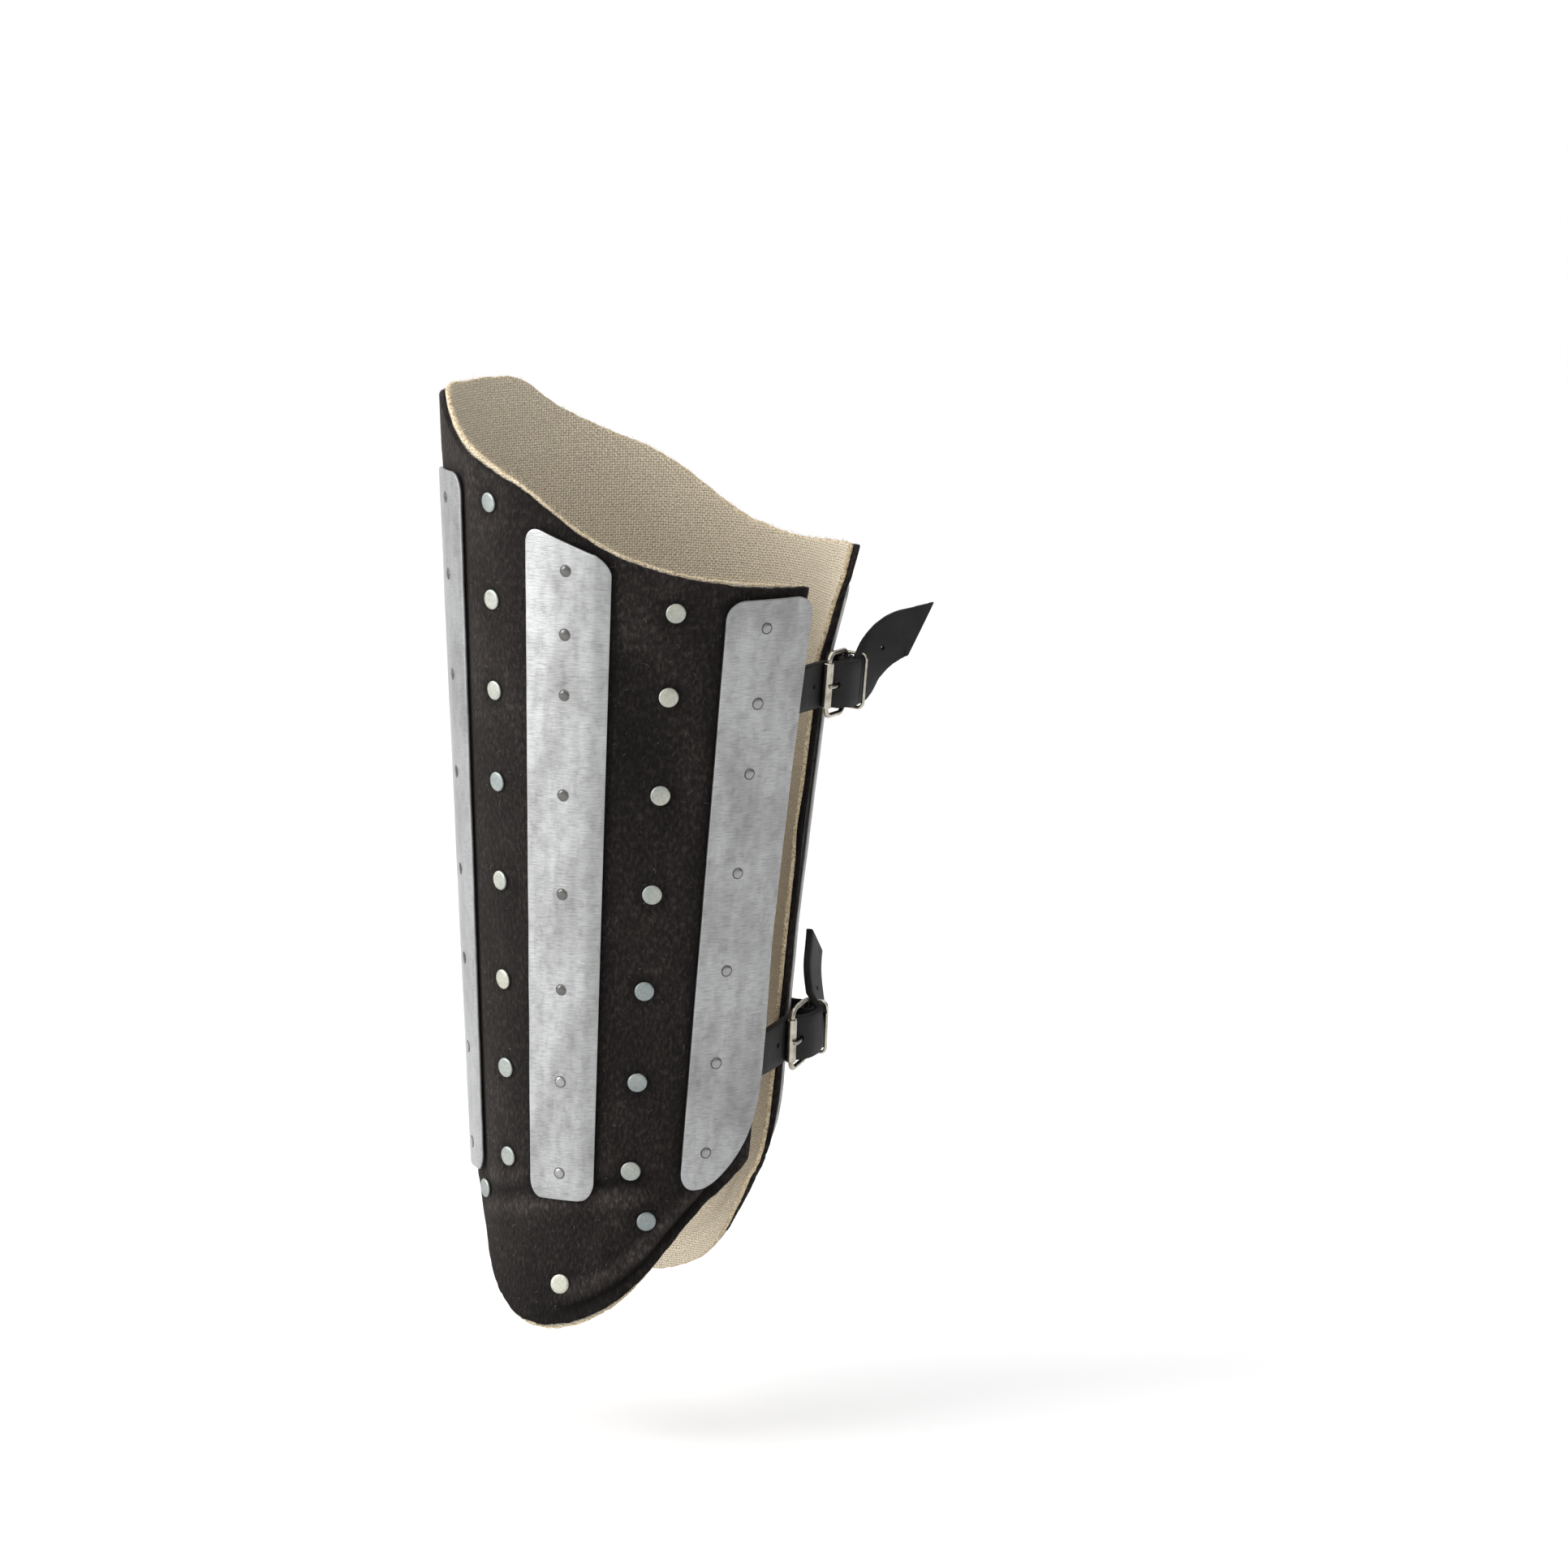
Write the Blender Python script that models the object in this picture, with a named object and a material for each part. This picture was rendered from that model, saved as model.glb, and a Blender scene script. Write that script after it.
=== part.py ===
"""Splinted greave for the left lower leg: felt cover, woven lining, steel splints, flat rivets,
and two straps with roller buckles. Metres, +Z up, front of the leg along -Y, outer side along +X.
The origin is on the axis of the leg, level with the lowest point of the ankle flap."""

import math

import bmesh
import bpy
from mathutils import Matrix, Vector
from mathutils.bvhtree import BVHTree

# Leg shell
HEIGHT = 0.396
WAIST_HEIGHT = 0.055
WAIST_RADIUS = 0.0615
TOP_RADIUS = 0.0896
FLAP_FLARE = 0.009
SIDE_FLATTEN = 0.07
ROUND_AZIMUTH = 23.0
BACKWARD_LEAN = 0.020
BACK_EDGE_AZIMUTH = 168.0
EDGE_FLARE = 0.006
EDGE_FLARE_WIDTH = 18.0
COVER_WALL = 0.0022
LINING_WALL = 0.0022
LINING_SHOW = 0.0015
CLEARANCE = 0.0003
AZIMUTH_STEP = 8.4
SURFACE_STEP = 0.004
SHARP_ANGLE = 35.0

# Splints
SPLINT_THICKNESS = 0.0014
SPLINT_WIDTH = 0.041
SPLINT_SEAT = 0.0006
STRAP_SEAT_LIFT = 0.0026
STRAP_EDGE_LIFT = 0.0009
CORNER_RADIUS = 0.008
TAPER_LENGTH = 0.055
SLANT_LENGTH = 0.060
SPLINT_ROW_PITCH = 0.042
SPLINT_COLUMNS = 4
SMALL_RIVET_RADIUS = 0.0021
SMALL_RIVET_HEIGHT = 0.0007
SMALL_SHANK_RADIUS = 0.0011
SMALL_HEAD_TAPER = 0.7
SMALL_RIVET_SINK = 0.6
SMALL_SIDES = 6

# Field rivets
HEAD_RADIUS = 0.00425
HEAD_HEIGHT = 0.0009
HEAD_TAPER = 0.8
HEAD_SIDES = 8
SHANK_RADIUS = 0.0012
SHANK_CLEARANCE = 0.0004

# Straps and buckles
STRAP_WIDTH = 0.020
STRAP_THICKNESS = 0.0030
CHAPE_THICKNESS = 0.0020
HOLE_RADIUS = 0.0011
HOLE_PITCH = 0.018
ROLLER_RADIUS = 0.0022
FRAME_WIRE_RADIUS = 0.0011
FRAME_DEPTH = 0.018
FRAME_CORNER = 0.004
ROLLER_END_PLAY = 0.0004
KEEPER_WIRE_RADIUS = 0.00075
KEEPER_OFFSET = 0.0045
KEEPER_LEAD = 0.0026
PRONG_RADIUS = 0.0008
PRONG_HOLE_RADIUS = 0.00144
TAIL_LENGTH = 0.038
THICKENING_LENGTH = 0.006
SHELL_STEP = 0.007
FREE_STEP = 0.0035
WIRE_SIDES = 6
ROLLER_SIDES = 10
KEEPER_CORNER = 0.0018
UPPER_STRAP_HEIGHT = 0.2735
LOWER_STRAP_HEIGHT = 0.1180

# Azimuth in degrees from the front, height as a share of HEIGHT
TOP_EDGE = (
    (0, 1.000), (14, 1.000), (26, 0.994), (38, 0.964), (52, 0.940), (71, 0.913), (99, 0.853),
    (115, 0.831), (128, 0.819), (141, 0.811), (155, 0.806), (168, 0.803),
)
INNER_TOP_RISE = ((105, 0.000), (125, 0.008), (145, 0.022), (168, 0.036))
BOTTOM_EDGE = (
    (0, 0.165), (16, 0.163), (29, 0.152), (38, 0.110), (51, 0.052), (67, 0.012), (81, 0.000),
    (97, 0.006), (113, 0.027), (126, 0.057), (135, 0.084), (151, 0.127), (160, 0.150), (168, 0.178),
)
ROW_SHARES = (0.0, 0.07, 0.14, 0.22, 0.34, 0.48, 0.62, 0.76, 0.90, 1.0)

# Flare of the back edges: height share, outer side share, inner side share of EDGE_FLARE
EDGE_FLARE_ROWS = (
    (0.00, 0.60, 0.60), (0.20, 0.80, 0.75), (0.30, 0.45, 0.50), (0.42, 0.05, 0.20),
    (0.60, 0.00, 0.10), (0.72, 0.10, 0.05), (0.80, 0.25, 0.85), (0.84, 0.30, 1.00),
)

# name, azimuth at foot, azimuth at top, width share, foot and top height shares,
# slant share of the top, taper share of the foot, rivet height shares
SPLINTS = (
    ("front", 32.0, 34.5, 0.88, 0.154, 0.920, 0.000, 0.00,
     (0.180, 0.287, 0.386, 0.485, 0.592, 0.699, 0.808, 0.891)),
    ("side", 89.0, 89.4, 1.00, 0.141, 0.876, 0.038, 0.00,
     (0.170, 0.272, 0.374, 0.479, 0.587, 0.695, 0.760, 0.828)),
    ("back", 152.5, 152.5, 1.00, 0.150, 0.794, 0.000, 0.75,
     (0.190, 0.290, 0.392, 0.499, 0.607, 0.683, 0.764)),
)
CORNER_ROWS = (0.0, 0.12, 0.42, 1.0)
TAPER_ROWS = (0.35, 0.65, 1.0)
CHAPE_RIVET_SHARE = 0.27
CHAPE_ROOT_SHARE = 0.10
CHAPE_PAST_RIVET = 0.0035
CHAPE_BENDS = (0.45, 0.20)
BACK_RIVET_AZIMUTHS = (147.5, 151.0)

# Columns of field rivets: azimuth at foot, azimuth at top, height shares
FRONT_COLUMN = (61.5, 60.0, (0.179, 0.278, 0.376, 0.485, 0.593, 0.692, 0.790, 0.894))
BACK_COLUMN = (118.0, 123.0, (0.174, 0.273, 0.374, 0.480, 0.588, 0.694, 0.784))
CENTRE_COLUMN = (0.0, 0.0, (0.230, 0.450, 0.670, 0.890))
FLAP_RIVETS = ((43.0, 0.134), (125.6, 0.117), (90.3, 0.046))

# Buckles: name, height, slope in degrees, azimuth of the roller, ride above the shell,
# outward flare in degrees, slant of the tail's end as a share of STRAP_WIDTH
UPPER_BUCKLE = ("upper", UPPER_STRAP_HEIGHT, 0.0, 181.0, 0.0059, 4.0, 0.40)
LOWER_BUCKLE = ("lower", LOWER_STRAP_HEIGHT, 7.0, 184.5, 0.0088, 4.0, 0.25)
CHAPE_RIVETS = {1: LOWER_BUCKLE, 5: UPPER_BUCKLE}

# Free tails: along, outward and upward, each a share of TAIL_LENGTH
UPPER_TAIL = ((0.15, 0.04, 0.04), (0.27, 0.13, 0.16), (0.40, 0.32, 0.31), (0.55, 0.61, 0.46))
LOWER_TAIL = ((0.15, -0.04, 0.05), (0.29, -0.13, 0.22), (0.43, -0.24, 0.45), (0.59, -0.21, 0.71))

# Strap under the splint, as shares of its width; under the roller, along and outward as shares
# of the roller's turn; round the roller, in degrees; over the buckle, along as a share of
# FRAME_DEPTH and outward as a share of its height over the bar
STRAP_SEAT_SHARES = (0.20, 0.45, 0.70, 0.99)
STRAP_UNDER_ROLLER = ((-1.60, -1.02), (-0.50, -1.00))
STRAP_BEND = (0.0, 25.0, 50.0, 74.0)
STRAP_OVER_BAR = ((0.36, 0.50), (0.56, 0.85), (0.78, 0.98), (1.00, 1.00))
CHAPE_RISE = (0.25, 0.50, 0.75)
CHAPE_LOOP = (158.0, 195.0, 232.0, 270.0, 308.0, 345.0, 382.0)

# Prong's loop round the bar, in degrees, and its run past that: along as a share of FRAME_DEPTH,
# outward as a share of its rest on the roller
PRONG_LOOP = (265.0, 229.0, 193.0, 157.0, 121.0, 85.0, 49.0, 13.0)
PRONG_RUN = (
    (0.97, 0.63), (0.70, 0.34), (0.46, 0.25), (0.27, 0.72), (0.11, 0.98), (0.00, 1.03),
    (-0.16, 0.96), (-0.22, 0.80),
)
PRONG_PIERCE = (2, 3)
PRONG_HOLE_REACH = 0.45


def interpolate(rows, x, column=1):
    """Value of one column of a table at x, straight between its rows."""
    if x <= rows[0][0]:
        return rows[0][column]
    for low, high in zip(rows, rows[1:]):
        if x <= high[0]:
            share = (x - low[0]) / (high[0] - low[0])
            return low[column] + share * (high[column] - low[column])
    return rows[-1][column]


def smooth_step(x):
    x = min(max(x, 0.0), 1.0)
    return x * x * (3.0 - 2.0 * x)


def section_radius(height):
    rise = (height - WAIST_HEIGHT) / (HEIGHT - WAIST_HEIGHT)
    flare = max(0.0, (WAIST_HEIGHT - height) / WAIST_HEIGHT) ** 2
    return WAIST_RADIUS + (TOP_RADIUS - WAIST_RADIUS) * rise + FLAP_FLARE * flare


def edge_flare(azimuth, height):
    side = 1 if azimuth >= 0 else 2
    near_edge = smooth_step(1.0 - (BACK_EDGE_AZIMUTH - abs(azimuth)) / EDGE_FLARE_WIDTH)
    if abs(azimuth) > BACK_EDGE_AZIMUTH:
        near_edge = 0.0
    return EDGE_FLARE * near_edge * interpolate(EDGE_FLARE_ROWS, height / HEIGHT, side)


def shell_point(azimuth, height, offset=0.0):
    """Point on the outer face of the cover, or offset outward from it."""
    angle = math.radians(azimuth)
    shape = 1.0 - SIDE_FLATTEN * (math.sin(angle) ** 2 - math.sin(math.radians(ROUND_AZIMUTH)) ** 2)
    radius = section_radius(height) * shape + edge_flare(azimuth, height) + offset
    centre = BACKWARD_LEAN * (height / HEIGHT - 0.5)
    return Vector((radius * math.sin(angle), centre - radius * math.cos(angle), height))


def shell_normal(azimuth, height):
    around = shell_point(azimuth + 1.0, height) - shell_point(azimuth - 1.0, height)
    return around.cross(shell_rise(azimuth, height)).normalized()


def shell_rise(azimuth, height):
    """Short step up the cover's outer face."""
    return shell_point(azimuth, height + SURFACE_STEP) - shell_point(azimuth, height - SURFACE_STEP)


def top_edge(azimuth):
    """Height of the cover's top edge; the inner side's stays higher towards the back."""
    share = interpolate(TOP_EDGE, abs(azimuth))
    if azimuth < 0.0:
        share += interpolate(INNER_TOP_RISE, -azimuth)
    return HEIGHT * share


def material(name, colour, roughness, metallic):
    made = bpy.data.materials.new(name)
    made.use_nodes = True
    shader = made.node_tree.nodes["Principled BSDF"]
    shader.inputs["Base Color"].default_value = (*colour, 1.0)
    shader.inputs["Roughness"].default_value = roughness
    shader.inputs["Metallic"].default_value = metallic
    return made


def add_object(name, bm, finish, smooth=True):
    bmesh.ops.recalc_face_normals(bm, faces=bm.faces)
    mesh = bpy.data.meshes.new(name)
    bm.to_mesh(mesh)
    bm.free()
    if smooth:
        mesh.shade_smooth()
        mesh.set_sharp_from_angle(angle=math.radians(SHARP_ANGLE))
    made = bpy.data.objects.new(name, mesh)
    mesh.materials.append(finish)
    bpy.context.scene.collection.objects.link(made)
    return made


def add_operand(target, name, bm, operation):
    """Hidden cutter or addition, applied to the target by a Boolean modifier."""
    operand = add_object(name, bm, target.data.materials[0], smooth=False)
    operand.hide_render = True
    operand.display_type = "WIRE"
    boolean = target.modifiers.new(name, "BOOLEAN")
    boolean.operation = operation
    boolean.solver = "EXACT"
    boolean.object = operand


def bridge_rings(bm, rings, closed_path=False):
    """Join rings of equal count into a tube, capped at its ends unless the path is closed."""
    count = len(rings[0])
    pairs = list(zip(rings, rings[1:]))
    if closed_path:
        pairs.append((rings[-1], rings[0]))
    for low, high in pairs:
        for i in range(count):
            j = (i + 1) % count
            bm.faces.new((low[i], low[j], high[j], high[i]))
    if not closed_path:
        bm.faces.new(rings[0][::-1])
        bm.faces.new(rings[-1])


def add_turned(bm, base, axis, profile, sides):
    """Closed solid of revolution: profile rows are level along the axis and radius."""
    side = axis.orthogonal().normalized()
    other = axis.cross(side)
    rings = []
    for level, radius in profile:
        ring = []
        for k in range(sides):
            turn = 2.0 * math.pi * (k + 0.5) / sides
            spoke = math.cos(turn) * side + math.sin(turn) * other
            ring.append(bm.verts.new(base + level * axis + radius * spoke))
        rings.append(ring)
    bridge_rings(bm, rings)


def add_pin(bm, base, top, radius, sides):
    """Plain cylinder between two points."""
    reach = (top - base).length
    add_turned(bm, base, (top - base).normalized(), ((0.0, radius), (reach, radius)), sides)


def tube(name, path, radius, sides, finish, closed_path=False):
    """Round wire swept along a path, with frames carried forward without twist."""
    bm = bmesh.new()
    count = len(path)
    tangents = []
    for i, point in enumerate(path):
        before = path[i - 1] if i or closed_path else point
        after = path[(i + 1) % count] if i < count - 1 or closed_path else point
        tangents.append((after - before).normalized())
    side = tangents[0].orthogonal().normalized()
    rings = []
    for point, tangent in zip(path, tangents):
        side = (side - side.dot(tangent) * tangent).normalized()
        other = tangent.cross(side)
        ring = []
        for k in range(sides):
            turn = 2.0 * math.pi * k / sides
            ring.append(bm.verts.new(point + radius * (math.cos(turn) * side + math.sin(turn) * other)))
        rings.append(ring)
    bridge_rings(bm, rings, closed_path)
    return add_object(name, bm, finish)


def shell(name, outer, inner, show, finish):
    """Open-backed wall between two offsets from the cover's outer face."""
    columns = round(2.0 * BACK_EDGE_AZIMUTH / AZIMUTH_STEP)
    bm = bmesh.new()
    faces = []
    for offset in (outer, inner):
        grid = []
        for i in range(columns + 1):
            azimuth = BACK_EDGE_AZIMUTH * (2.0 * i / columns - 1.0)
            foot = HEIGHT * interpolate(BOTTOM_EDGE, abs(azimuth))
            top = top_edge(azimuth)
            heights = [foot + (top - foot) * share for share in ROW_SHARES]
            heights[0] -= show
            heights[-1] += show
            grid.append([bm.verts.new(shell_point(azimuth, height, offset)) for height in heights])
        faces.append(grid)
    for grid in faces:
        for i in range(columns):
            for j in range(len(ROW_SHARES) - 1):
                bm.faces.new((grid[i][j], grid[i + 1][j], grid[i + 1][j + 1]))
                bm.faces.new((grid[i][j], grid[i + 1][j + 1], grid[i][j + 1]))
    front, back = faces
    border = [(i, 0) for i in range(columns)]
    border += [(columns, j) for j in range(len(ROW_SHARES) - 1)]
    border += [(i, len(ROW_SHARES) - 1) for i in range(columns, 0, -1)]
    border += [(0, j) for j in range(len(ROW_SHARES) - 1, 0, -1)]
    for (i, j), (k, m) in zip(border, border[1:] + border[:1]):
        bm.faces.new((front[i][j], front[k][m], back[k][m], back[i][j]))
    return add_object(name, bm, finish)


def field_rivets():
    """Name, azimuth and height of every large rivet; those of the outer side come first."""
    places = []
    for side, sign in (("outer", 1.0), ("inner", -1.0)):
        for column, (foot, top, shares) in (("front", FRONT_COLUMN), ("back", BACK_COLUMN)):
            for k, share in enumerate(shares):
                azimuth = foot + (top - foot) * (share - shares[0]) / (shares[-1] - shares[0])
                places.append((f"rivet_{side}_{column}_{k + 1}", sign * azimuth, share * HEIGHT))
        for k, (azimuth, share) in enumerate(FLAP_RIVETS):
            places.append((f"rivet_{side}_flap_{k + 1}", sign * azimuth, share * HEIGHT))
    for k, share in enumerate(CENTRE_COLUMN[2]):
        places.append((f"rivet_centre_{k + 1}", CENTRE_COLUMN[0], share * HEIGHT))
    return places


def rivet_lift(felt_faces, seat, normal):
    """How far a head must stand off its nominal place to clear the faces of the felt."""
    side = normal.orthogonal().normalized()
    other = normal.cross(side)
    lift = 0.0
    for k in range(HEAD_SIDES):
        turn = 2.0 * math.pi * k / HEAD_SIDES
        rim = seat + HEAD_RADIUS * (math.cos(turn) * side + math.sin(turn) * other)
        hit = felt_faces.ray_cast(rim + FLAP_FLARE * normal, -normal)[0]
        if hit:
            lift = max(lift, (hit - seat).dot(normal))
    return lift


def add_field_rivet(name, azimuth, height, felt_faces, finish):
    """Flat chamfered head on the felt, with a shank that ends inside the cover."""
    normal = shell_normal(azimuth, height)
    face = shell_point(azimuth, height)
    face += (rivet_lift(felt_faces, face, normal) + CLEARANCE) * normal
    profile = (
        (-COVER_WALL - CLEARANCE, SHANK_RADIUS), (0.0, SHANK_RADIUS), (0.0, HEAD_RADIUS),
        (HEAD_HEIGHT, HEAD_TAPER * HEAD_RADIUS),
    )
    bm = bmesh.new()
    add_turned(bm, face, normal, profile, HEAD_SIDES)
    add_object(name, bm, finish)


def end_inset(distance, radius):
    """How far a rounded corner has drawn in, at a distance from the end."""
    if distance >= radius:
        return 0.0
    return radius - math.sqrt(radius ** 2 - (radius - distance) ** 2)


def splint_seat(kind, side, share):
    """Gap under a splint; the outer back one rises over the straps' ends."""
    if kind == "back" and side > 0:
        return SPLINT_SEAT + STRAP_SEAT_LIFT * share
    return SPLINT_SEAT


def splint_span(row, height):
    """Azimuth of the splint's middle and its half width in degrees at a height."""
    kind, foot_azimuth, top_azimuth, width_share, foot, top = row[:6]
    rise = (height / HEIGHT - foot) / (top - foot)
    half = math.degrees(0.5 * SPLINT_WIDTH * width_share / section_radius(top * HEIGHT))
    return foot_azimuth + (top_azimuth - foot_azimuth) * rise, half


def splint_point(row, side, share, height, level):
    """Point on a splint: share runs from its front edge, 0, to its rear edge, 1."""
    middle, half = splint_span(row, height)
    azimuth = side * (middle + half * (2.0 * share - 1.0))
    return shell_point(azimuth, height, splint_seat(row[0], side, share) + level)


def add_splint(row, side, name, finish):
    kind, foot_azimuth, top_azimuth, width_share, foot, top, slant, taper, rivets = row
    low = foot * HEIGHT
    high = top * HEIGHT
    width = SPLINT_WIDTH * width_share
    ends = [CORNER_RADIUS * share for share in CORNER_ROWS]
    heights = [low + end for end in ends]
    if taper:
        heights += [low + TAPER_LENGTH * share for share in TAPER_ROWS]
    inner_low = heights[-1]
    inner_high = high - CORNER_RADIUS
    steps = max(2, round((inner_high - inner_low) / SPLINT_ROW_PITCH))
    heights += [inner_low + (inner_high - inner_low) * k / steps for k in range(1, steps)]
    heights += [high - end for end in reversed(ends)]
    across = SPLINT_COLUMNS
    bm = bmesh.new()
    grids = []
    for level in (SPLINT_THICKNESS, 0.0):
        grid = []
        for height in heights:
            inset = end_inset(min(height - low, high - height), CORNER_RADIUS) / width
            taper_run = max(0.0, 1.0 - (height - low) / TAPER_LENGTH)
            rear = 1.0 - max(inset, taper * (1.0 - math.sqrt(1.0 - taper_run ** 2)))
            line = []
            for k in range(across + 1):
                share = inset + (rear - inset) * k / across
                near_top = max(0.0, 1.0 - (high - height) / SLANT_LENGTH)
                drop = slant * HEIGHT * share * near_top
                line.append(bm.verts.new(splint_point(row, side, share, height - drop, level)))
            grid.append(line)
        grids.append(grid)
    last = len(heights) - 1
    for grid in grids:
        for j in range(last):
            for k in range(across):
                bm.faces.new((grid[j][k], grid[j][k + 1], grid[j + 1][k + 1], grid[j + 1][k]))
    border = [(0, k) for k in range(across)] + [(j, across) for j in range(last)]
    border += [(last, k) for k in range(across, 0, -1)] + [(j, 0) for j in range(last, 0, -1)]
    front, back = grids
    for (j, k), (m, n) in zip(border, border[1:] + border[:1]):
        bm.faces.new((front[j][k], front[m][n], back[m][n], back[j][k]))
    plate = add_object(name, bm, finish)

    heads = bmesh.new()
    for index, share in enumerate(rivets):
        height = share * HEIGHT
        azimuth, half = splint_span(row, height)
        position = 0.5
        if kind == "back":
            climb = (share - rivets[0]) / (rivets[-1] - rivets[0])
            low_azimuth, high_azimuth = BACK_RIVET_AZIMUTHS
            position = 0.5 + 0.5 * (low_azimuth + (high_azimuth - low_azimuth) * climb - azimuth) / half
        lift = 0.0
        if kind == "back" and index in CHAPE_RIVETS and side < 0:
            height, position = chape_rivet_place(row, CHAPE_RIVETS[index])
            lift = CHAPE_THICKNESS + 2.0 * CLEARANCE
        profile = [(lift, SMALL_RIVET_RADIUS),
                   (lift + SMALL_RIVET_HEIGHT, SMALL_HEAD_TAPER * SMALL_RIVET_RADIUS)]
        if lift:
            profile.insert(0, (lift, SMALL_SHANK_RADIUS))
            profile.insert(0, (-SMALL_RIVET_SINK * SPLINT_THICKNESS, SMALL_SHANK_RADIUS))
        else:
            profile[0] = (-SMALL_RIVET_SINK * SPLINT_THICKNESS, SMALL_RIVET_RADIUS)
        seat = splint_point(row, side, position, height, SPLINT_THICKNESS)
        add_turned(heads, seat, shell_normal(side * azimuth, height), profile, SMALL_SIDES)
    add_operand(plate, name + "_heads", heads, "UNION")


def strap_frame(buckle):
    """Local axes of a buckle: origin on the roller's axis, then along, outward and upward."""
    name, height, slope, azimuth, ride, flare, turn = buckle
    angle = math.radians(azimuth)
    outward = Vector((math.sin(angle), -math.cos(angle), 0.0))
    tangent = Vector((math.cos(angle), math.sin(angle), 0.0))
    widening = section_radius(height + SURFACE_STEP) - section_radius(height - SURFACE_STEP)
    cone = widening / (2.0 * SURFACE_STEP)
    along = math.cos(math.radians(flare)) * tangent + math.sin(math.radians(flare)) * outward
    upward = (Vector((0.0, 0.0, 1.0)) + cone * outward).normalized()
    normal = upward.cross(along)
    if normal.dot(outward) < 0.0:
        normal = -normal
    rotate = Matrix.Rotation(math.radians(slope), 3, normal)
    if (rotate @ along).z < along.z:
        rotate = Matrix.Rotation(math.radians(-slope), 3, normal)
    return shell_point(azimuth, height, ride), rotate @ along, normal, rotate @ upward


def in_frame(frame, along, outward, upward=0.0):
    origin, u, n, w = frame
    return origin + along * u + outward * n + upward * w


def route_height(buckle, azimuth):
    """Height of the strap's middle where it lies on the shell at an azimuth."""
    name, height, slope, roller_azimuth = buckle[:4]
    run = math.radians(azimuth - roller_azimuth) * section_radius(height)
    return height + math.tan(math.radians(slope)) * run


def chape_rivet_place(row, buckle):
    """Height and place across the splint of the rivet that holds a chape."""
    position = CHAPE_RIVET_SHARE
    height = buckle[1]
    middle, half = splint_span(row, height)
    return route_height(buckle, 360.0 - (middle + half * (2.0 * position - 1.0))), position


def catmull_rom(points, spacing):
    """Smooth curve through points, sampled about evenly."""
    padded = [2.0 * points[0] - points[1]] + list(points) + [2.0 * points[-1] - points[-2]]
    curve = [points[0]]
    for a, b, c, d in zip(padded, padded[1:], padded[2:], padded[3:]):
        before, here, after = ((q - p).length ** 0.5 for p, q in ((a, b), (b, c), (c, d)))
        leave = here * ((b - a) / before - (c - a) / (before + here) + (c - b) / here)
        arrive = here * ((c - b) / here - (d - b) / (here + after) + (d - c) / after)
        steps = max(1, round((c - b).length / spacing))
        for k in range(1, steps + 1):
            t = k / steps
            blend = t * t * (3.0 - 2.0 * t)
            curve.append(b + blend * (c - b) + t * (1.0 - t) ** 2 * leave
                         - t * t * (1.0 - t) * arrive)
    return curve


def bezier(a, b, c, d, share):
    rest = 1.0 - share
    return rest ** 3 * a + 3.0 * rest * rest * share * b + 3.0 * rest * share * share * c + share ** 3 * d


def path_lengths(path):
    lengths = [0.0]
    for a, b in zip(path, path[1:]):
        lengths.append(lengths[-1] + (b - a).length)
    return lengths


def leaning(path, upward, seated, freed):
    """Upward directions along a path: the shell's own until seated, the buckle's once freed."""
    directions = []
    for point, length in zip(path, path_lengths(path)):
        centre = BACKWARD_LEAN * (point.z / HEIGHT - 0.5)
        azimuth = math.degrees(math.atan2(point.x, centre - point.y))
        freedom = smooth_step((length - seated) / (freed - seated))
        directions.append(shell_rise(azimuth, point.z).normalized().lerp(upward, freedom))
    return directions


def carry_forward(path, upwards, start):
    """Past a point of the path, each upward direction follows from the last without twist."""
    first = min(range(len(path)), key=lambda i: (path[i] - start).length)
    for i in range(first + 1, len(path)):
        tangent = (path[min(i + 1, len(path) - 1)] - path[i - 1]).normalized()
        upwards[i] = (upwards[i - 1] - upwards[i - 1].dot(tangent) * tangent).normalized()


def ribbon(name, path, upwards, width, thicknesses, cut, finish):
    """Flat strip swept along a path; its end is cut slanting by the given length."""
    bm = bmesh.new()
    rings = []
    count = len(path)
    for i, (point, upward, thickness) in enumerate(zip(path, upwards, thicknesses)):
        tangent = (path[min(i + 1, count - 1)] - path[max(i - 1, 0)]).normalized()
        across = (upward - upward.dot(tangent) * tangent).normalized()
        out = tangent.cross(across)
        skew = cut * tangent if i == count - 1 else Vector()
        ring = []
        for a, b in ((0.5, 0.5), (0.5, -0.5), (-0.5, -0.5), (-0.5, 0.5)):
            ring.append(bm.verts.new(point + a * width * across + b * thickness * out
                                     + 2.0 * a * skew))
        rings.append(ring)
    bridge_rings(bm, rings)
    return add_object(name, bm, finish)


def bar_clearances():
    """Distances from the fixed bar's axis to the chape's middle and to the strap's middle."""
    chape_turn = FRAME_WIRE_RADIUS + CLEARANCE + 0.5 * CHAPE_THICKNESS
    strap_over = chape_turn + 0.5 * CHAPE_THICKNESS + 1.5 * CLEARANCE + 0.5 * STRAP_THICKNESS
    return chape_turn, strap_over


def keeper_levels():
    """Levels inside a keeper: the chape's underside, the strap's middle and the strap's top."""
    underside = -CHAPE_THICKNESS - 0.5 * CLEARANCE
    middle = -underside + 2.5 * CLEARANCE + 0.5 * STRAP_THICKNESS
    return underside, middle, middle + 0.5 * STRAP_THICKNESS


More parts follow.
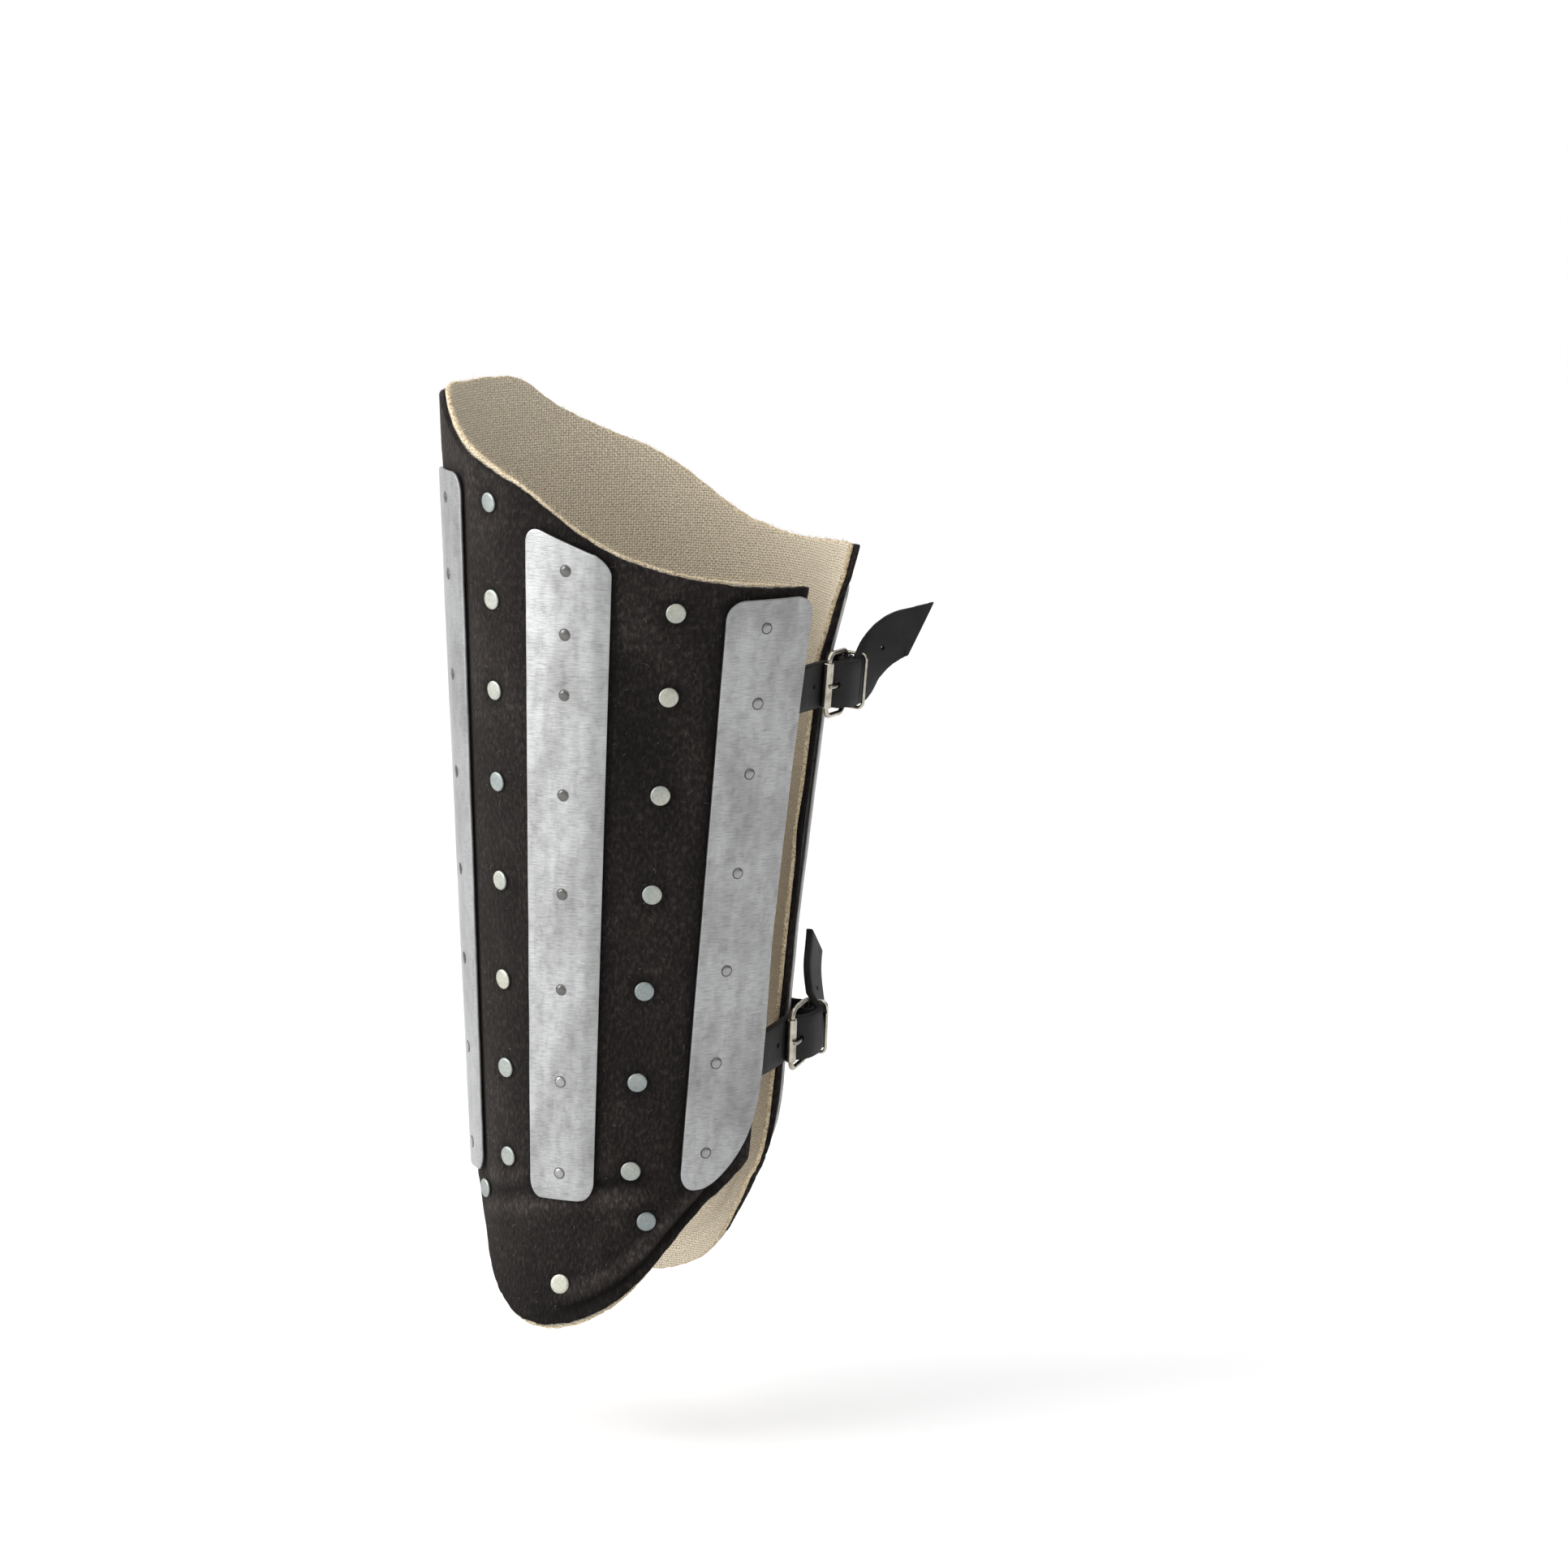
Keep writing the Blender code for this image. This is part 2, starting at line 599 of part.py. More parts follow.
def strap_route(buckle, tail):
    """Middle line of a strap from under the splint, below the roller and over the fixed bar."""
    frame = strap_frame(buckle)
    back_row = SPLINTS[2]
    middle, half = splint_span(back_row, buckle[1])
    route = []
    thicknesses = []
    for share in STRAP_SEAT_SHARES:
        azimuth = middle + half * (2.0 * share - 1.0)
        lift = CLEARANCE + STRAP_EDGE_LIFT * share
        thickness = splint_seat("back", 1, share) - CLEARANCE - lift
        height = route_height(buckle, azimuth)
        route.append(shell_point(azimuth, height, lift + 0.5 * thickness))
        thicknesses.append(thickness)
    turn = ROLLER_RADIUS + CLEARANCE + 0.5 * STRAP_THICKNESS
    strap_over = bar_clearances()[1]
    lifted = keeper_levels()[1]
    under = [in_frame(frame, along * turn, outward * turn) for along, outward in STRAP_UNDER_ROLLER]
    bend = []
    for degrees in STRAP_BEND:
        angle = math.radians(degrees)
        bend.append(in_frame(frame, turn * math.sin(angle), -turn * math.cos(angle)))
    over = [in_frame(frame, along * FRAME_DEPTH, outward * strap_over)
            for along, outward in STRAP_OVER_BAR]
    crossing = over[0]
    over += [in_frame(frame, FRAME_DEPTH + KEEPER_OFFSET, lifted),
             in_frame(frame, FRAME_DEPTH + KEEPER_OFFSET + KEEPER_LEAD, lifted)]
    end = [in_frame(frame, FRAME_DEPTH + KEEPER_OFFSET + TAIL_LENGTH * along,
                    lifted + TAIL_LENGTH * outward, TAIL_LENGTH * upward)
           for along, outward, upward in tail]
    shell_part = catmull_rom(route, SHELL_STEP)
    free_part = catmull_rom([route[-1]] + under + bend + over + end, FREE_STEP)
    path = shell_part + free_part[1:]
    lengths = path_lengths(path)
    edge = path_lengths(shell_part)[-1]
    table = [(0.0, thicknesses[0]), (edge, thicknesses[-1]), (edge + THICKENING_LENGTH, STRAP_THICKNESS)]
    upwards = leaning(path, frame[3], edge, edge + (under[0] - route[-1]).length)
    carry_forward(path, upwards, over[-1])
    return path, upwards, [interpolate(table, length) for length in lengths], crossing


def add_holes(strap, path, upwards, crossing, frame):
    """The hole that the prong fills, the hole before it and the next but one after it."""
    cutters = bmesh.new()
    lengths = path_lengths(path)
    nearest = min(range(len(path)), key=lambda i: (path[i] - crossing).length)
    for step in (-1, 2):
        target = lengths[nearest] + step * HOLE_PITCH
        i = min(range(1, len(path) - 1), key=lambda k: abs(lengths[k] - target))
        tangent = (path[i + 1] - path[i - 1]).normalized()
        across = (upwards[i] - upwards[i].dot(tangent) * tangent).normalized()
        reach = STRAP_THICKNESS * tangent.cross(across)
        add_pin(cutters, path[i] - reach, path[i] + reach, HOLE_RADIUS, SMALL_SIDES)
    start, end = prong_crossing(frame)
    add_pin(cutters, start, end, PRONG_HOLE_RADIUS, HEAD_SIDES)
    add_operand(strap, strap.name + "_holes", cutters, "DIFFERENCE")


def prong_line(frame):
    """Middle line of a prong: round the fixed bar, under the strap, through it, onto the roller."""
    ring = FRAME_WIRE_RADIUS + CLEARANCE + PRONG_RADIUS
    points = []
    for degrees in PRONG_LOOP:
        angle = math.radians(degrees)
        points.append(in_frame(frame, FRAME_DEPTH + ring * math.sin(angle), ring * math.cos(angle)))
    return points + prong_run(frame)


def prong_run(frame):
    rest = ROLLER_RADIUS + CLEARANCE + PRONG_RADIUS
    return [in_frame(frame, along * FRAME_DEPTH, outward * rest) for along, outward in PRONG_RUN]


def prong_crossing(frame):
    """Ends of the cutter that opens the strap for the prong."""
    low, high = (prong_run(frame)[k] for k in PRONG_PIERCE)
    reach = PRONG_HOLE_REACH * (high - low)
    return low - reach, high + reach


def add_strap(buckle, tail, finish):
    frame = strap_frame(buckle)
    path, upwards, thicknesses, crossing = strap_route(buckle, tail)
    cut = buckle[6] * STRAP_WIDTH
    strap = ribbon("strap_" + buckle[0], path, upwards, STRAP_WIDTH, thicknesses, cut, finish)
    add_holes(strap, path, upwards, crossing, frame)


def add_chape(buckle, finish):
    """Leather from the inner back splint, round the fixed bar and back on itself."""
    frame = strap_frame(buckle)
    chape_turn = bar_clearances()[0]
    middle, half = splint_span(SPLINTS[2], buckle[1])
    level = SPLINT_SEAT + SPLINT_THICKNESS + CLEARANCE + 0.5 * CHAPE_THICKNESS
    layer = 0.5 * (CHAPE_THICKNESS + CLEARANCE)
    run = KEEPER_OFFSET + KEEPER_LEAD
    root = 360.0 - (middle + half * (2.0 * CHAPE_ROOT_SHARE - 1.0))
    landing = 360.0 - (middle + half * (2.0 * CHAPE_RIVET_SHARE - 1.0))
    landing -= math.degrees(CHAPE_PAST_RIVET / section_radius(buckle[1]))
    route = []
    for k in range(4):
        azimuth = root + (landing - root) * k / 3
        route.append(shell_point(azimuth - 360.0, route_height(buckle, azimuth), level))
    straight = [FRAME_DEPTH + run, FRAME_DEPTH + KEEPER_OFFSET]
    lifted = in_frame(frame, straight[0], -layer)
    reach = (lifted - route[-1]).length
    leaving = route[-1] + CHAPE_BENDS[0] * reach * (route[-1] - route[-2]).normalized()
    arriving = lifted + CHAPE_BENDS[1] * reach * frame[1]
    for share in CHAPE_RISE:
        route.append(bezier(route[3], leaving, arriving, lifted, share))
    route += [in_frame(frame, along, -layer) for along in straight]
    for degrees in CHAPE_LOOP:
        angle = math.radians(degrees)
        route.append(in_frame(frame, FRAME_DEPTH + chape_turn * math.sin(angle),
                              chape_turn * math.cos(angle)))
    route += [in_frame(frame, along, layer) for along in reversed(straight)]
    path = catmull_rom(route, FREE_STEP)
    seated = (route[3] - route[0]).length
    upwards = leaning(path, frame[3], seated, seated + (lifted - route[3]).length)
    chape = ribbon("chape_" + buckle[0], path, upwards, STRAP_WIDTH,
                   [CHAPE_THICKNESS] * len(path), 0.0, finish)
    cutters = bmesh.new()
    slot = PRONG_RADIUS + CLEARANCE
    slot_reach = FRAME_WIRE_RADIUS + CLEARANCE + PRONG_RADIUS + slot
    slot_start = 2.0 * chape_turn
    centre = in_frame(frame, FRAME_DEPTH + 0.5 * (slot_reach - slot_start), 0.0)
    add_box(cutters, centre, frame, slot_reach + slot_start, 4.0 * chape_turn, 2.0 * slot)
    height, position = chape_rivet_place(SPLINTS[2], buckle)
    azimuth = -(middle + half * (2.0 * position - 1.0))
    seat = splint_point(SPLINTS[2], -1.0, position, height, SPLINT_THICKNESS)
    out = shell_normal(azimuth, height)
    hole = SMALL_SHANK_RADIUS + SHANK_CLEARANCE
    add_pin(cutters, seat, seat + 2.0 * CHAPE_THICKNESS * out, hole, SMALL_SIDES)
    add_operand(chape, "chape_cuts_" + buckle[0], cutters, "DIFFERENCE")


def add_box(bm, centre, frame, length, depth, height):
    origin, u, n, w = frame
    axes = Matrix((u, n, w)).transposed().to_4x4()
    place = Matrix.Translation(centre) @ axes @ Matrix.Diagonal((length, depth, height, 1.0))
    bmesh.ops.create_cube(bm, size=1.0, matrix=place)


def rounded_loop(half_length, half_height, corner):
    """Corners of a rounded rectangle as pairs, three points to each corner."""
    points = []
    for sign_a, sign_b, start in ((1, 1, 0), (-1, 1, 90), (-1, -1, 180), (1, -1, 270)):
        for degrees in (0, 30, 60, 90):
            angle = math.radians(start + degrees)
            points.append((sign_a * (half_length - corner) + corner * math.cos(angle),
                           sign_b * (half_height - corner) + corner * math.sin(angle)))
    return points


def add_buckle(buckle, finish):
    name = buckle[0]
    frame = strap_frame(buckle)
    half_height = 0.5 * STRAP_WIDTH + ROLLER_END_PLAY + FRAME_WIRE_RADIUS + 0.5 * FRAME_CORNER
    loop = rounded_loop(0.5 * FRAME_DEPTH, half_height, FRAME_CORNER)
    path = [in_frame(frame, 0.5 * FRAME_DEPTH + along, 0.0, upward) for along, upward in loop]
    tube("buckle_frame_" + name, path, FRAME_WIRE_RADIUS, WIRE_SIDES, finish, closed_path=True)

    bore = FRAME_WIRE_RADIUS + CLEARANCE
    half = 0.5 * STRAP_WIDTH - ROLLER_END_PLAY
    bm = bmesh.new()
    origin, u, n, w = frame
    rings = []
    for radius, level in ((ROLLER_RADIUS, -half), (ROLLER_RADIUS, half), (bore, half), (bore, -half)):
        ring = []
        for k in range(ROLLER_SIDES):
            turn = 2.0 * math.pi * k / ROLLER_SIDES
            ring.append(bm.verts.new(origin + level * w + radius * (math.cos(turn) * u + math.sin(turn) * n)))
        rings.append(ring)
    bridge_rings(bm, rings, closed_path=True)
    add_object("buckle_roller_" + name, bm, finish)

    tube("buckle_prong_" + name, prong_line(frame), PRONG_RADIUS, WIRE_SIDES, finish)

    underside, strap_middle, strap_top = keeper_levels()
    middle = 0.5 * (strap_top + underside)
    half_depth = 0.5 * (strap_top - underside) + 2.0 * CLEARANCE + KEEPER_WIRE_RADIUS
    half_reach = 0.5 * STRAP_WIDTH + 3.0 * CLEARANCE + KEEPER_WIRE_RADIUS
    loop = rounded_loop(half_depth, half_reach, KEEPER_CORNER)
    path = [in_frame(frame, FRAME_DEPTH + KEEPER_OFFSET, middle + outward, upward)
            for outward, upward in loop]
    tube("keeper_" + name, path, KEEPER_WIRE_RADIUS, WIRE_SIDES, finish, closed_path=True)


def main():
    for item in list(bpy.data.objects):
        bpy.data.objects.remove(item)
    felt = material("black_felt", (0.020, 0.017, 0.016), 0.95, 0.0)
    weave = material("cream_weave", (0.62, 0.53, 0.38), 0.90, 0.0)
    steel = material("satin_steel", (0.62, 0.62, 0.63), 0.34, 1.0)
    rivet = material("rivet_steel", (0.66, 0.67, 0.64), 0.42, 1.0)
    leather = material("black_leather", (0.024, 0.023, 0.023), 0.55, 0.0)
    nickel = material("nickel", (0.72, 0.70, 0.66), 0.20, 1.0)

    cover = shell("cover", 0.0, -COVER_WALL, 0.0, felt)
    lining_face = -COVER_WALL - CLEARANCE
    shell("lining", lining_face, lining_face - LINING_WALL, LINING_SHOW, weave)

    felt_faces = BVHTree.FromPolygons([v.co for v in cover.data.vertices],
                                      [face.vertices[:] for face in cover.data.polygons])
    holes = bmesh.new()
    hole_radius = SHANK_RADIUS + SHANK_CLEARANCE
    for name, azimuth, height in field_rivets():
        add_field_rivet(name, azimuth, height, felt_faces, rivet)
        normal = shell_normal(azimuth, height)
        centre = shell_point(azimuth, height, -0.5 * COVER_WALL)
        reach = COVER_WALL * normal
        add_pin(holes, centre - reach, centre + reach, hole_radius, SMALL_SIDES)
    add_operand(cover, "cover_rivet_holes", holes, "DIFFERENCE")

    for row in SPLINTS:
        for side, side_name in ((1.0, "outer"), (-1.0, "inner")):
            add_splint(row, side, f"splint_{side_name}_{row[0]}", steel)
    for buckle, tail in ((UPPER_BUCKLE, UPPER_TAIL), (LOWER_BUCKLE, LOWER_TAIL)):
        add_strap(buckle, tail, leather)
        add_chape(buckle, leather)
        add_buckle(buckle, nickel)


main()
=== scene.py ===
"""Looks of a splinted greave for the left lower leg: felt cover, woven lining, satin steel splints,
flat rivets, and two black leather straps with roller buckles. Metres, +Z up, front along -Y."""
import math
import random
from collections import namedtuple

import bmesh
import bpy
import numpy as np
from mathutils import Matrix, Vector


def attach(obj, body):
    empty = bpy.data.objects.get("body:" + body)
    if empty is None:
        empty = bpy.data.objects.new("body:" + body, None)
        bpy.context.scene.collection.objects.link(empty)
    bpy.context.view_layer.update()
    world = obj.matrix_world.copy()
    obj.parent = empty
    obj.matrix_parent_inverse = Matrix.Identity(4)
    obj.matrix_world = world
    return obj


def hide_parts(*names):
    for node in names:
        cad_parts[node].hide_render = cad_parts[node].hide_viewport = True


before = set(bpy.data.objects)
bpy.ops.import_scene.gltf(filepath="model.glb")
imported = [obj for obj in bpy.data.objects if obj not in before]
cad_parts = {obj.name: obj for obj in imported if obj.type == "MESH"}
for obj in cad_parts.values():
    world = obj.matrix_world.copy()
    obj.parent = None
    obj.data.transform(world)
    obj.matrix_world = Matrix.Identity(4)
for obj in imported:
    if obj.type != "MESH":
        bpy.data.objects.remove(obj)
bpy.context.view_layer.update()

UP = Vector((0.0, 0.0, 1.0))
SEED = 7

# Leg shell, as in the solids
HEIGHT = 0.396
WAIST_HEIGHT = 0.055
WAIST_RADIUS = 0.0615
TOP_RADIUS = 0.0896
FLAP_FLARE = 0.009
SIDE_FLATTEN = 0.07
ROUND_AZIMUTH = 23.0
BACKWARD_LEAN = 0.020
BACK_EDGE_AZIMUTH = 168.0
EDGE_FLARE = 0.006
EDGE_FLARE_WIDTH = 18.0
COVER_WALL = 0.0022
LINING_WALL = 0.0022
CLEARANCE = 0.0003

# Splints
SPLINT_THICKNESS = 0.0014
SPLINT_WIDTH = 0.041
SPLINT_SEAT = 0.0006
STRAP_SEAT_LIFT = 0.0026
STRAP_EDGE_LIFT = 0.0009
CORNER_RADIUS = 0.008
TAPER_LENGTH = 0.055
SLANT_LENGTH = 0.060
CREASE_INSET = 0.0066
CREASE_RISE = 0.0016
SMALL_RIVET_RADIUS = 0.0021
HEAD_RADIUS = 0.00425
HEAD_HEIGHT = 0.0009
# Small heads on the front and side splints above this height take a darker steel, a painted dark reflection
LIGHT_HEADS_BELOW = 0.12
PLATE_ACROSS = 26
PLATE_STRAIGHT_ROWS = 158
PLATE_END_ROWS = 16
PLATE_EDGE_BULGE = 0.00038
SHANK_RADIUS = 0.0011

# Straps and buckles
STRAP_WIDTH = 0.020
STRAP_THICKNESS = 0.0030
CHAPE_THICKNESS = 0.0020
CHAPE_WIDTH = STRAP_WIDTH - 0.0004
HOLE_RADIUS = 0.0011
HOLE_PITCH = 0.018
ROLLER_RADIUS = 0.0022
FRAME_WIRE_RADIUS = 0.0011
FRAME_DEPTH = 0.018
FRAME_CORNER = 0.004
ROLLER_END_PLAY = 0.0004
KEEPER_WIRE_RADIUS = 0.00075
KEEPER_OFFSET = 0.0045
KEEPER_LEAD = 0.0026
PRONG_RADIUS = 0.0008
PRONG_SPACING = 0.0006
PRONG_POINT = 0.0022
TAIL_LENGTH = 0.038
TWIST_SHARE = 0.35

# Distances from the roller's axis and the fixed bar's
ROLLER_TURN = ROLLER_RADIUS + CLEARANCE + 0.5 * STRAP_THICKNESS
CHAPE_TURN = FRAME_WIRE_RADIUS + CLEARANCE + 0.5 * CHAPE_THICKNESS
STRAP_OVER = CHAPE_TURN + 0.5 * CHAPE_THICKNESS + 1.5 * CLEARANCE + 0.5 * STRAP_THICKNESS
PRONG_REST = ROLLER_RADIUS + CLEARANCE + PRONG_RADIUS
PRONG_RING = FRAME_WIRE_RADIUS + CLEARANCE + PRONG_RADIUS
KEEPER_PLACE = FRAME_DEPTH + KEEPER_OFFSET
KEEPER_UNDERSIDE = -CHAPE_THICKNESS - 0.5 * CLEARANCE
STRAP_LEVEL = -KEEPER_UNDERSIDE + 2.5 * CLEARANCE + 0.5 * STRAP_THICKNESS

# Azimuth in degrees from the front, height as a share of HEIGHT
TOP_EDGE = (
    (0, 1.000), (14, 1.000), (26, 0.994), (38, 0.964), (52, 0.940), (71, 0.913), (99, 0.853),
    (115, 0.831), (128, 0.819), (141, 0.811), (155, 0.806), (168, 0.803),
)
INNER_TOP_RISE = ((105, 0.000), (125, 0.008), (145, 0.022), (168, 0.036))
BOTTOM_EDGE = (
    (0, 0.165), (16, 0.163), (29, 0.152), (38, 0.110), (51, 0.052), (67, 0.012), (81, 0.000),
    (97, 0.006), (113, 0.027), (126, 0.057), (135, 0.084), (151, 0.127), (160, 0.150), (168, 0.178),
)

# Azimuth, and how far the lining stands past the cover there, in millimetres
LINING_PAST_TOP = (
    (0, 2.1), (20, 2.2), (45, 2.2), (72, 1.3), (84, 1.0), (100, 1.4), (140, 1.7), (160, 1.5), (168, 0.6),
)
LINING_PAST_FOOT = ((0, 0.6), (50, 1.2), (70, 1.8), (90, 2.2), (118, 2.2), (135, 1.5), (168, 0.6))

# Flare of the back edges: height share, outer side share, inner side share of EDGE_FLARE
EDGE_FLARE_ROWS = (
    (0.00, 0.60, 0.60), (0.20, 0.80, 0.75), (0.30, 0.45, 0.50), (0.42, 0.05, 0.20),
    (0.60, 0.00, 0.10), (0.72, 0.10, 0.05), (0.80, 0.25, 0.85), (0.84, 0.30, 1.00),
)

# Azimuths in degrees; width, slant of the top and taper of the foot as shares; heights as shares
Splint = namedtuple("Splint", "kind foot_azimuth top_azimuth width foot top slant taper rivets")
SPLINTS = (
    Splint("front", 32.0, 34.5, 0.88, 0.154, 0.920, 0.000, 0.00,
           (0.180, 0.287, 0.386, 0.485, 0.592, 0.699, 0.808, 0.891)),
    Splint("side", 89.0, 89.4, 1.00, 0.141, 0.876, 0.038, 0.00,
           (0.170, 0.272, 0.374, 0.479, 0.587, 0.695, 0.760, 0.828)),
    Splint("back", 152.5, 152.5, 1.00, 0.150, 0.794, 0.000, 0.75,
           (0.190, 0.290, 0.392, 0.499, 0.607, 0.683, 0.764)),
)
BACK_SPLINT = SPLINTS[2]
# Row of the back splint's rivet that holds a chape, and its buckle's number
STRAP_RIVET_ROWS = {1: 1, 5: 0}
BACK_RIVET_AZIMUTHS = (147.5, 151.0)
CHAPE_RIVET_SHARE = 0.27
CHAPE_ROOT_SHARE = 0.10
CHAPE_PAST_RIVET = 0.0035
CHAPE_BENDS = (0.45, 0.20)

# Columns of field rivets: azimuth at foot, azimuth at top, height shares
FRONT_COLUMN = (61.5, 60.0, (0.179, 0.278, 0.376, 0.485, 0.593, 0.692, 0.790, 0.894))
BACK_COLUMN = (118.0, 123.0, (0.174, 0.273, 0.374, 0.480, 0.588, 0.694, 0.784))
CENTRE_SHARES = (0.230, 0.450, 0.670, 0.890)
CENTRE_BETWEEN_SHARES = (0.340, 0.560, 0.780)
FLAP_RIVETS = ((43.0, 0.134), (125.6, 0.117), (90.3, 0.046))

# Rivet heads: rise and share of the radius; the large ones' rise is a share too
SMALL_HEAD_PROFILE = (
    (-0.0003, 1.0), (0.00018, 1.0), (0.00034, 0.90), (0.00046, 0.70), (0.00054, 0.45), (0.00057, 0.15),
)
HEAD_PROFILE = ((0.62, 1.0), (0.84, 0.965), (0.95, 0.90), (1.0, 0.78), (1.03, 0.5), (1.04, 0.2))

# Relief of the felt; a swell has its rise, width, height and the inner side's shift
SWELLS = ((0.0007, 0.030, 0.045, 5.0), (0.00035, 0.011, 0.016, 3.0))
PRESS_DEPTH = 0.00055
FOLD_HEIGHT = 0.0575
FOLD_WAVE = 0.007
FOLD_WIDTH = 0.0040
HEM_SLOPE = 38.0
SEAM_INSET = 0.0055
CURL = 0.0015
# Name of the felt's stored rise, which its material turns into painted shade and highlight
RISE = "rise"
SURFACE_RADIUS = 0.075
RIM_STEP = 0.0007
FELT_GRID = (236, 168)
LINING_GRID = (236, 150)

# Loose fibres and stitches
FRAY_COUNT = 1500
LINT_COUNT = 520
HAIR_COUNT = 9000
EDGE_HAIR_COUNT = 4200
STITCH_LENGTH = 0.0024
STITCH_PITCH = 0.0034
STITCH_RADIUS = 0.00028
SEAM_SHARES = (0.190, 0.795)

# A tail's points are shares of TAIL_LENGTH along, outward and upward from the keeper
UPPER_TAIL = ((0.15, 0.03, 0.15), (0.26, 0.12, 0.35), (0.37, 0.29, 0.52), (0.49, 0.50, 0.60))
LOWER_TAIL = ((0.13, -0.07, 0.10), (0.25, -0.17, 0.30), (0.36, -0.25, 0.56), (0.45, -0.27, 0.86))
# Name, height, slope, roller's azimuth, ride above the shell, outward flare, slant of the tail's end
# as a share of STRAP_WIDTH, tail, its twist, and how far it stands up again
BUCKLE_ROWS = (
    ("upper", 0.2735, 0.0, 181.0, 0.0059, 4.0, 0.40, UPPER_TAIL, 0.0, 0.15),
    ("lower", 0.1180, 7.0, 184.5, 0.0088, 4.0, 0.25, LOWER_TAIL, -29.0, 0.0),
)
STRAP_OVER_BAR = ((0.36, 0.50), (0.56, 0.85), (0.78, 0.98), (1.00, 1.00))
PRONG_RUN = (
    (0.97, 0.63), (0.70, 0.34), (0.46, 0.25), (0.27, 0.72), (0.11, 0.98), (0.00, 1.03),
    (-0.16, 0.96), (-0.22, 0.80),
)
PRONG_PIERCE = (2, 3)
# Material numbers round a section: grain or outer face, rolled sides, flesh or inner face
STRAP_SLOTS = (1, 1, 0, 0, 0, 0, 1, 1, 1, 1, 1, 2, 2, 2, 2, 1, 1, 1)
CHAPE_SLOTS = (1, 1, 0, 0, 0, 0, 1, 1, 1, 1, 1, 0, 0, 0, 0, 1, 1, 1)

# Sides across and outward, and starting angle, of each corner of a rounded section
QUARTERS = ((1, 1, 0), (-1, 1, 90), (-1, -1, 180), (1, -1, 270))

# Camera, light and floor
CAMERA_AZIMUTH = 113.0
CAMERA_ELEVATION = 9.5
CAMERA_DISTANCE = 2.5
AIM_HEIGHT = 0.20
PHOTO_SIZE = 1932
FOCAL_PIXELS = 7143.0
AIM_PIXEL = (775.0, 1040.0)
SENSOR_WIDTH = 36.0
FLOOR_HEIGHT = -0.055
FLOOR_SIZE = 160.0
BRIGHT_SIDE = (25.0, 10.0)
SURROUND = (-0.9, 0.95, 0.16, 1.55)
OVERHEAD = (0.45, 0.95, 0.0, 0.7)
KEY_DIRECTION = (40.0, 22.0)
KEY_DISTANCE = 1.7
KEY_SIZE = (1.0, 1.3)
KEY_POWER = 25.0


def smooth_step(x):
    x = np.clip(x, 0.0, 1.0)
    return x * x * (3.0 - 2.0 * x)


def between(x, low, rise, high, fall):
    """1 between two limits, falling smoothly to 0 past them."""
    return smooth_step((x - low) / rise) * smooth_step((high - x) / fall)


def bell(x):
    return np.exp(-x ** 2)


def curve_through(rows):
    """Smooth curve through a table of azimuth and share, level at the front."""
    x, y = np.array(rows, float).T
    secant = np.diff(y) / np.diff(x)
    slope = np.concatenate(([0.0], 0.5 * (secant[1:] + secant[:-1]), [secant[-1]]))

    def value_at(azimuth):
        a = np.clip(np.abs(azimuth), x[0], x[-1])
        k = np.clip(np.searchsorted(x, a, side="right") - 1, 0, len(x) - 2)
        width = x[k + 1] - x[k]
        t = (a - x[k]) / width
        rest = 1.0 - t
        return (y[k] * (1.0 + 2.0 * t) * rest ** 2 + y[k + 1] * t ** 2 * (3.0 - 2.0 * t)
                + width * (slope[k] * t * rest ** 2 - slope[k + 1] * t ** 2 * rest))

    return value_at


bottom_edge = curve_through(BOTTOM_EDGE)
outer_top_edge = curve_through(TOP_EDGE)


def table_value(x, rows):
    return np.interp(x, *np.array(rows, float).T)


def top_edge(azimuth):
    """Height share of the cover's top edge; the inner side's stays higher towards the back."""
    return outer_top_edge(azimuth) + table_value(-np.asarray(azimuth, float), INNER_TOP_RISE)


def section_radius(height):
    rise = (height - WAIST_HEIGHT) / (HEIGHT - WAIST_HEIGHT)
    flare = np.maximum(0.0, (WAIST_HEIGHT - height) / WAIST_HEIGHT) ** 2
    return WAIST_RADIUS + (TOP_RADIUS - WAIST_RADIUS) * rise + FLAP_FLARE * flare


def arc(degrees, height):
    """Length round the shell of an angle at a height."""
    return np.radians(degrees) * section_radius(height)


def edge_flare(azimuth, height):
    shares, outer, inner = np.array(EDGE_FLARE_ROWS).T
    share = np.where(azimuth >= 0.0, np.interp(height / HEIGHT, shares, outer),
                     np.interp(height / HEIGHT, shares, inner))
    near = smooth_step(1.0 - (BACK_EDGE_AZIMUTH - np.abs(azimuth)) / EDGE_FLARE_WIDTH)
    return EDGE_FLARE * np.where(np.abs(azimuth) > BACK_EDGE_AZIMUTH, 0.0, near) * share


def shell_points(azimuth, height, offset=0.0):
    """Points on the outer face of the cover, or offset outward from it, as an array of XYZ."""
    angle = np.radians(azimuth)
    shape = 1.0 - SIDE_FLATTEN * (np.sin(angle) ** 2 - math.sin(math.radians(ROUND_AZIMUTH)) ** 2)
    radius = section_radius(height) * shape + edge_flare(azimuth, height) + offset
    centre = BACKWARD_LEAN * (height / HEIGHT - 0.5)
    return np.stack((radius * np.sin(angle), centre - radius * np.cos(angle), height), axis=-1)


def unit(vectors):
    return vectors / np.maximum(np.linalg.norm(vectors, axis=-1, keepdims=True), 1e-12)


def shell_normals(azimuth, height):
    around = shell_points(azimuth + 0.5, height) - shell_points(azimuth - 0.5, height)
    along = shell_points(azimuth, height + 0.003) - shell_points(azimuth, height - 0.003)
    return unit(np.cross(around, along))


def shell_point(azimuth, height, offset=0.0):
    return Vector(shell_points(azimuth, height, offset))


def shell_normal(azimuth, height):
    return Vector(shell_normals(azimuth, height))


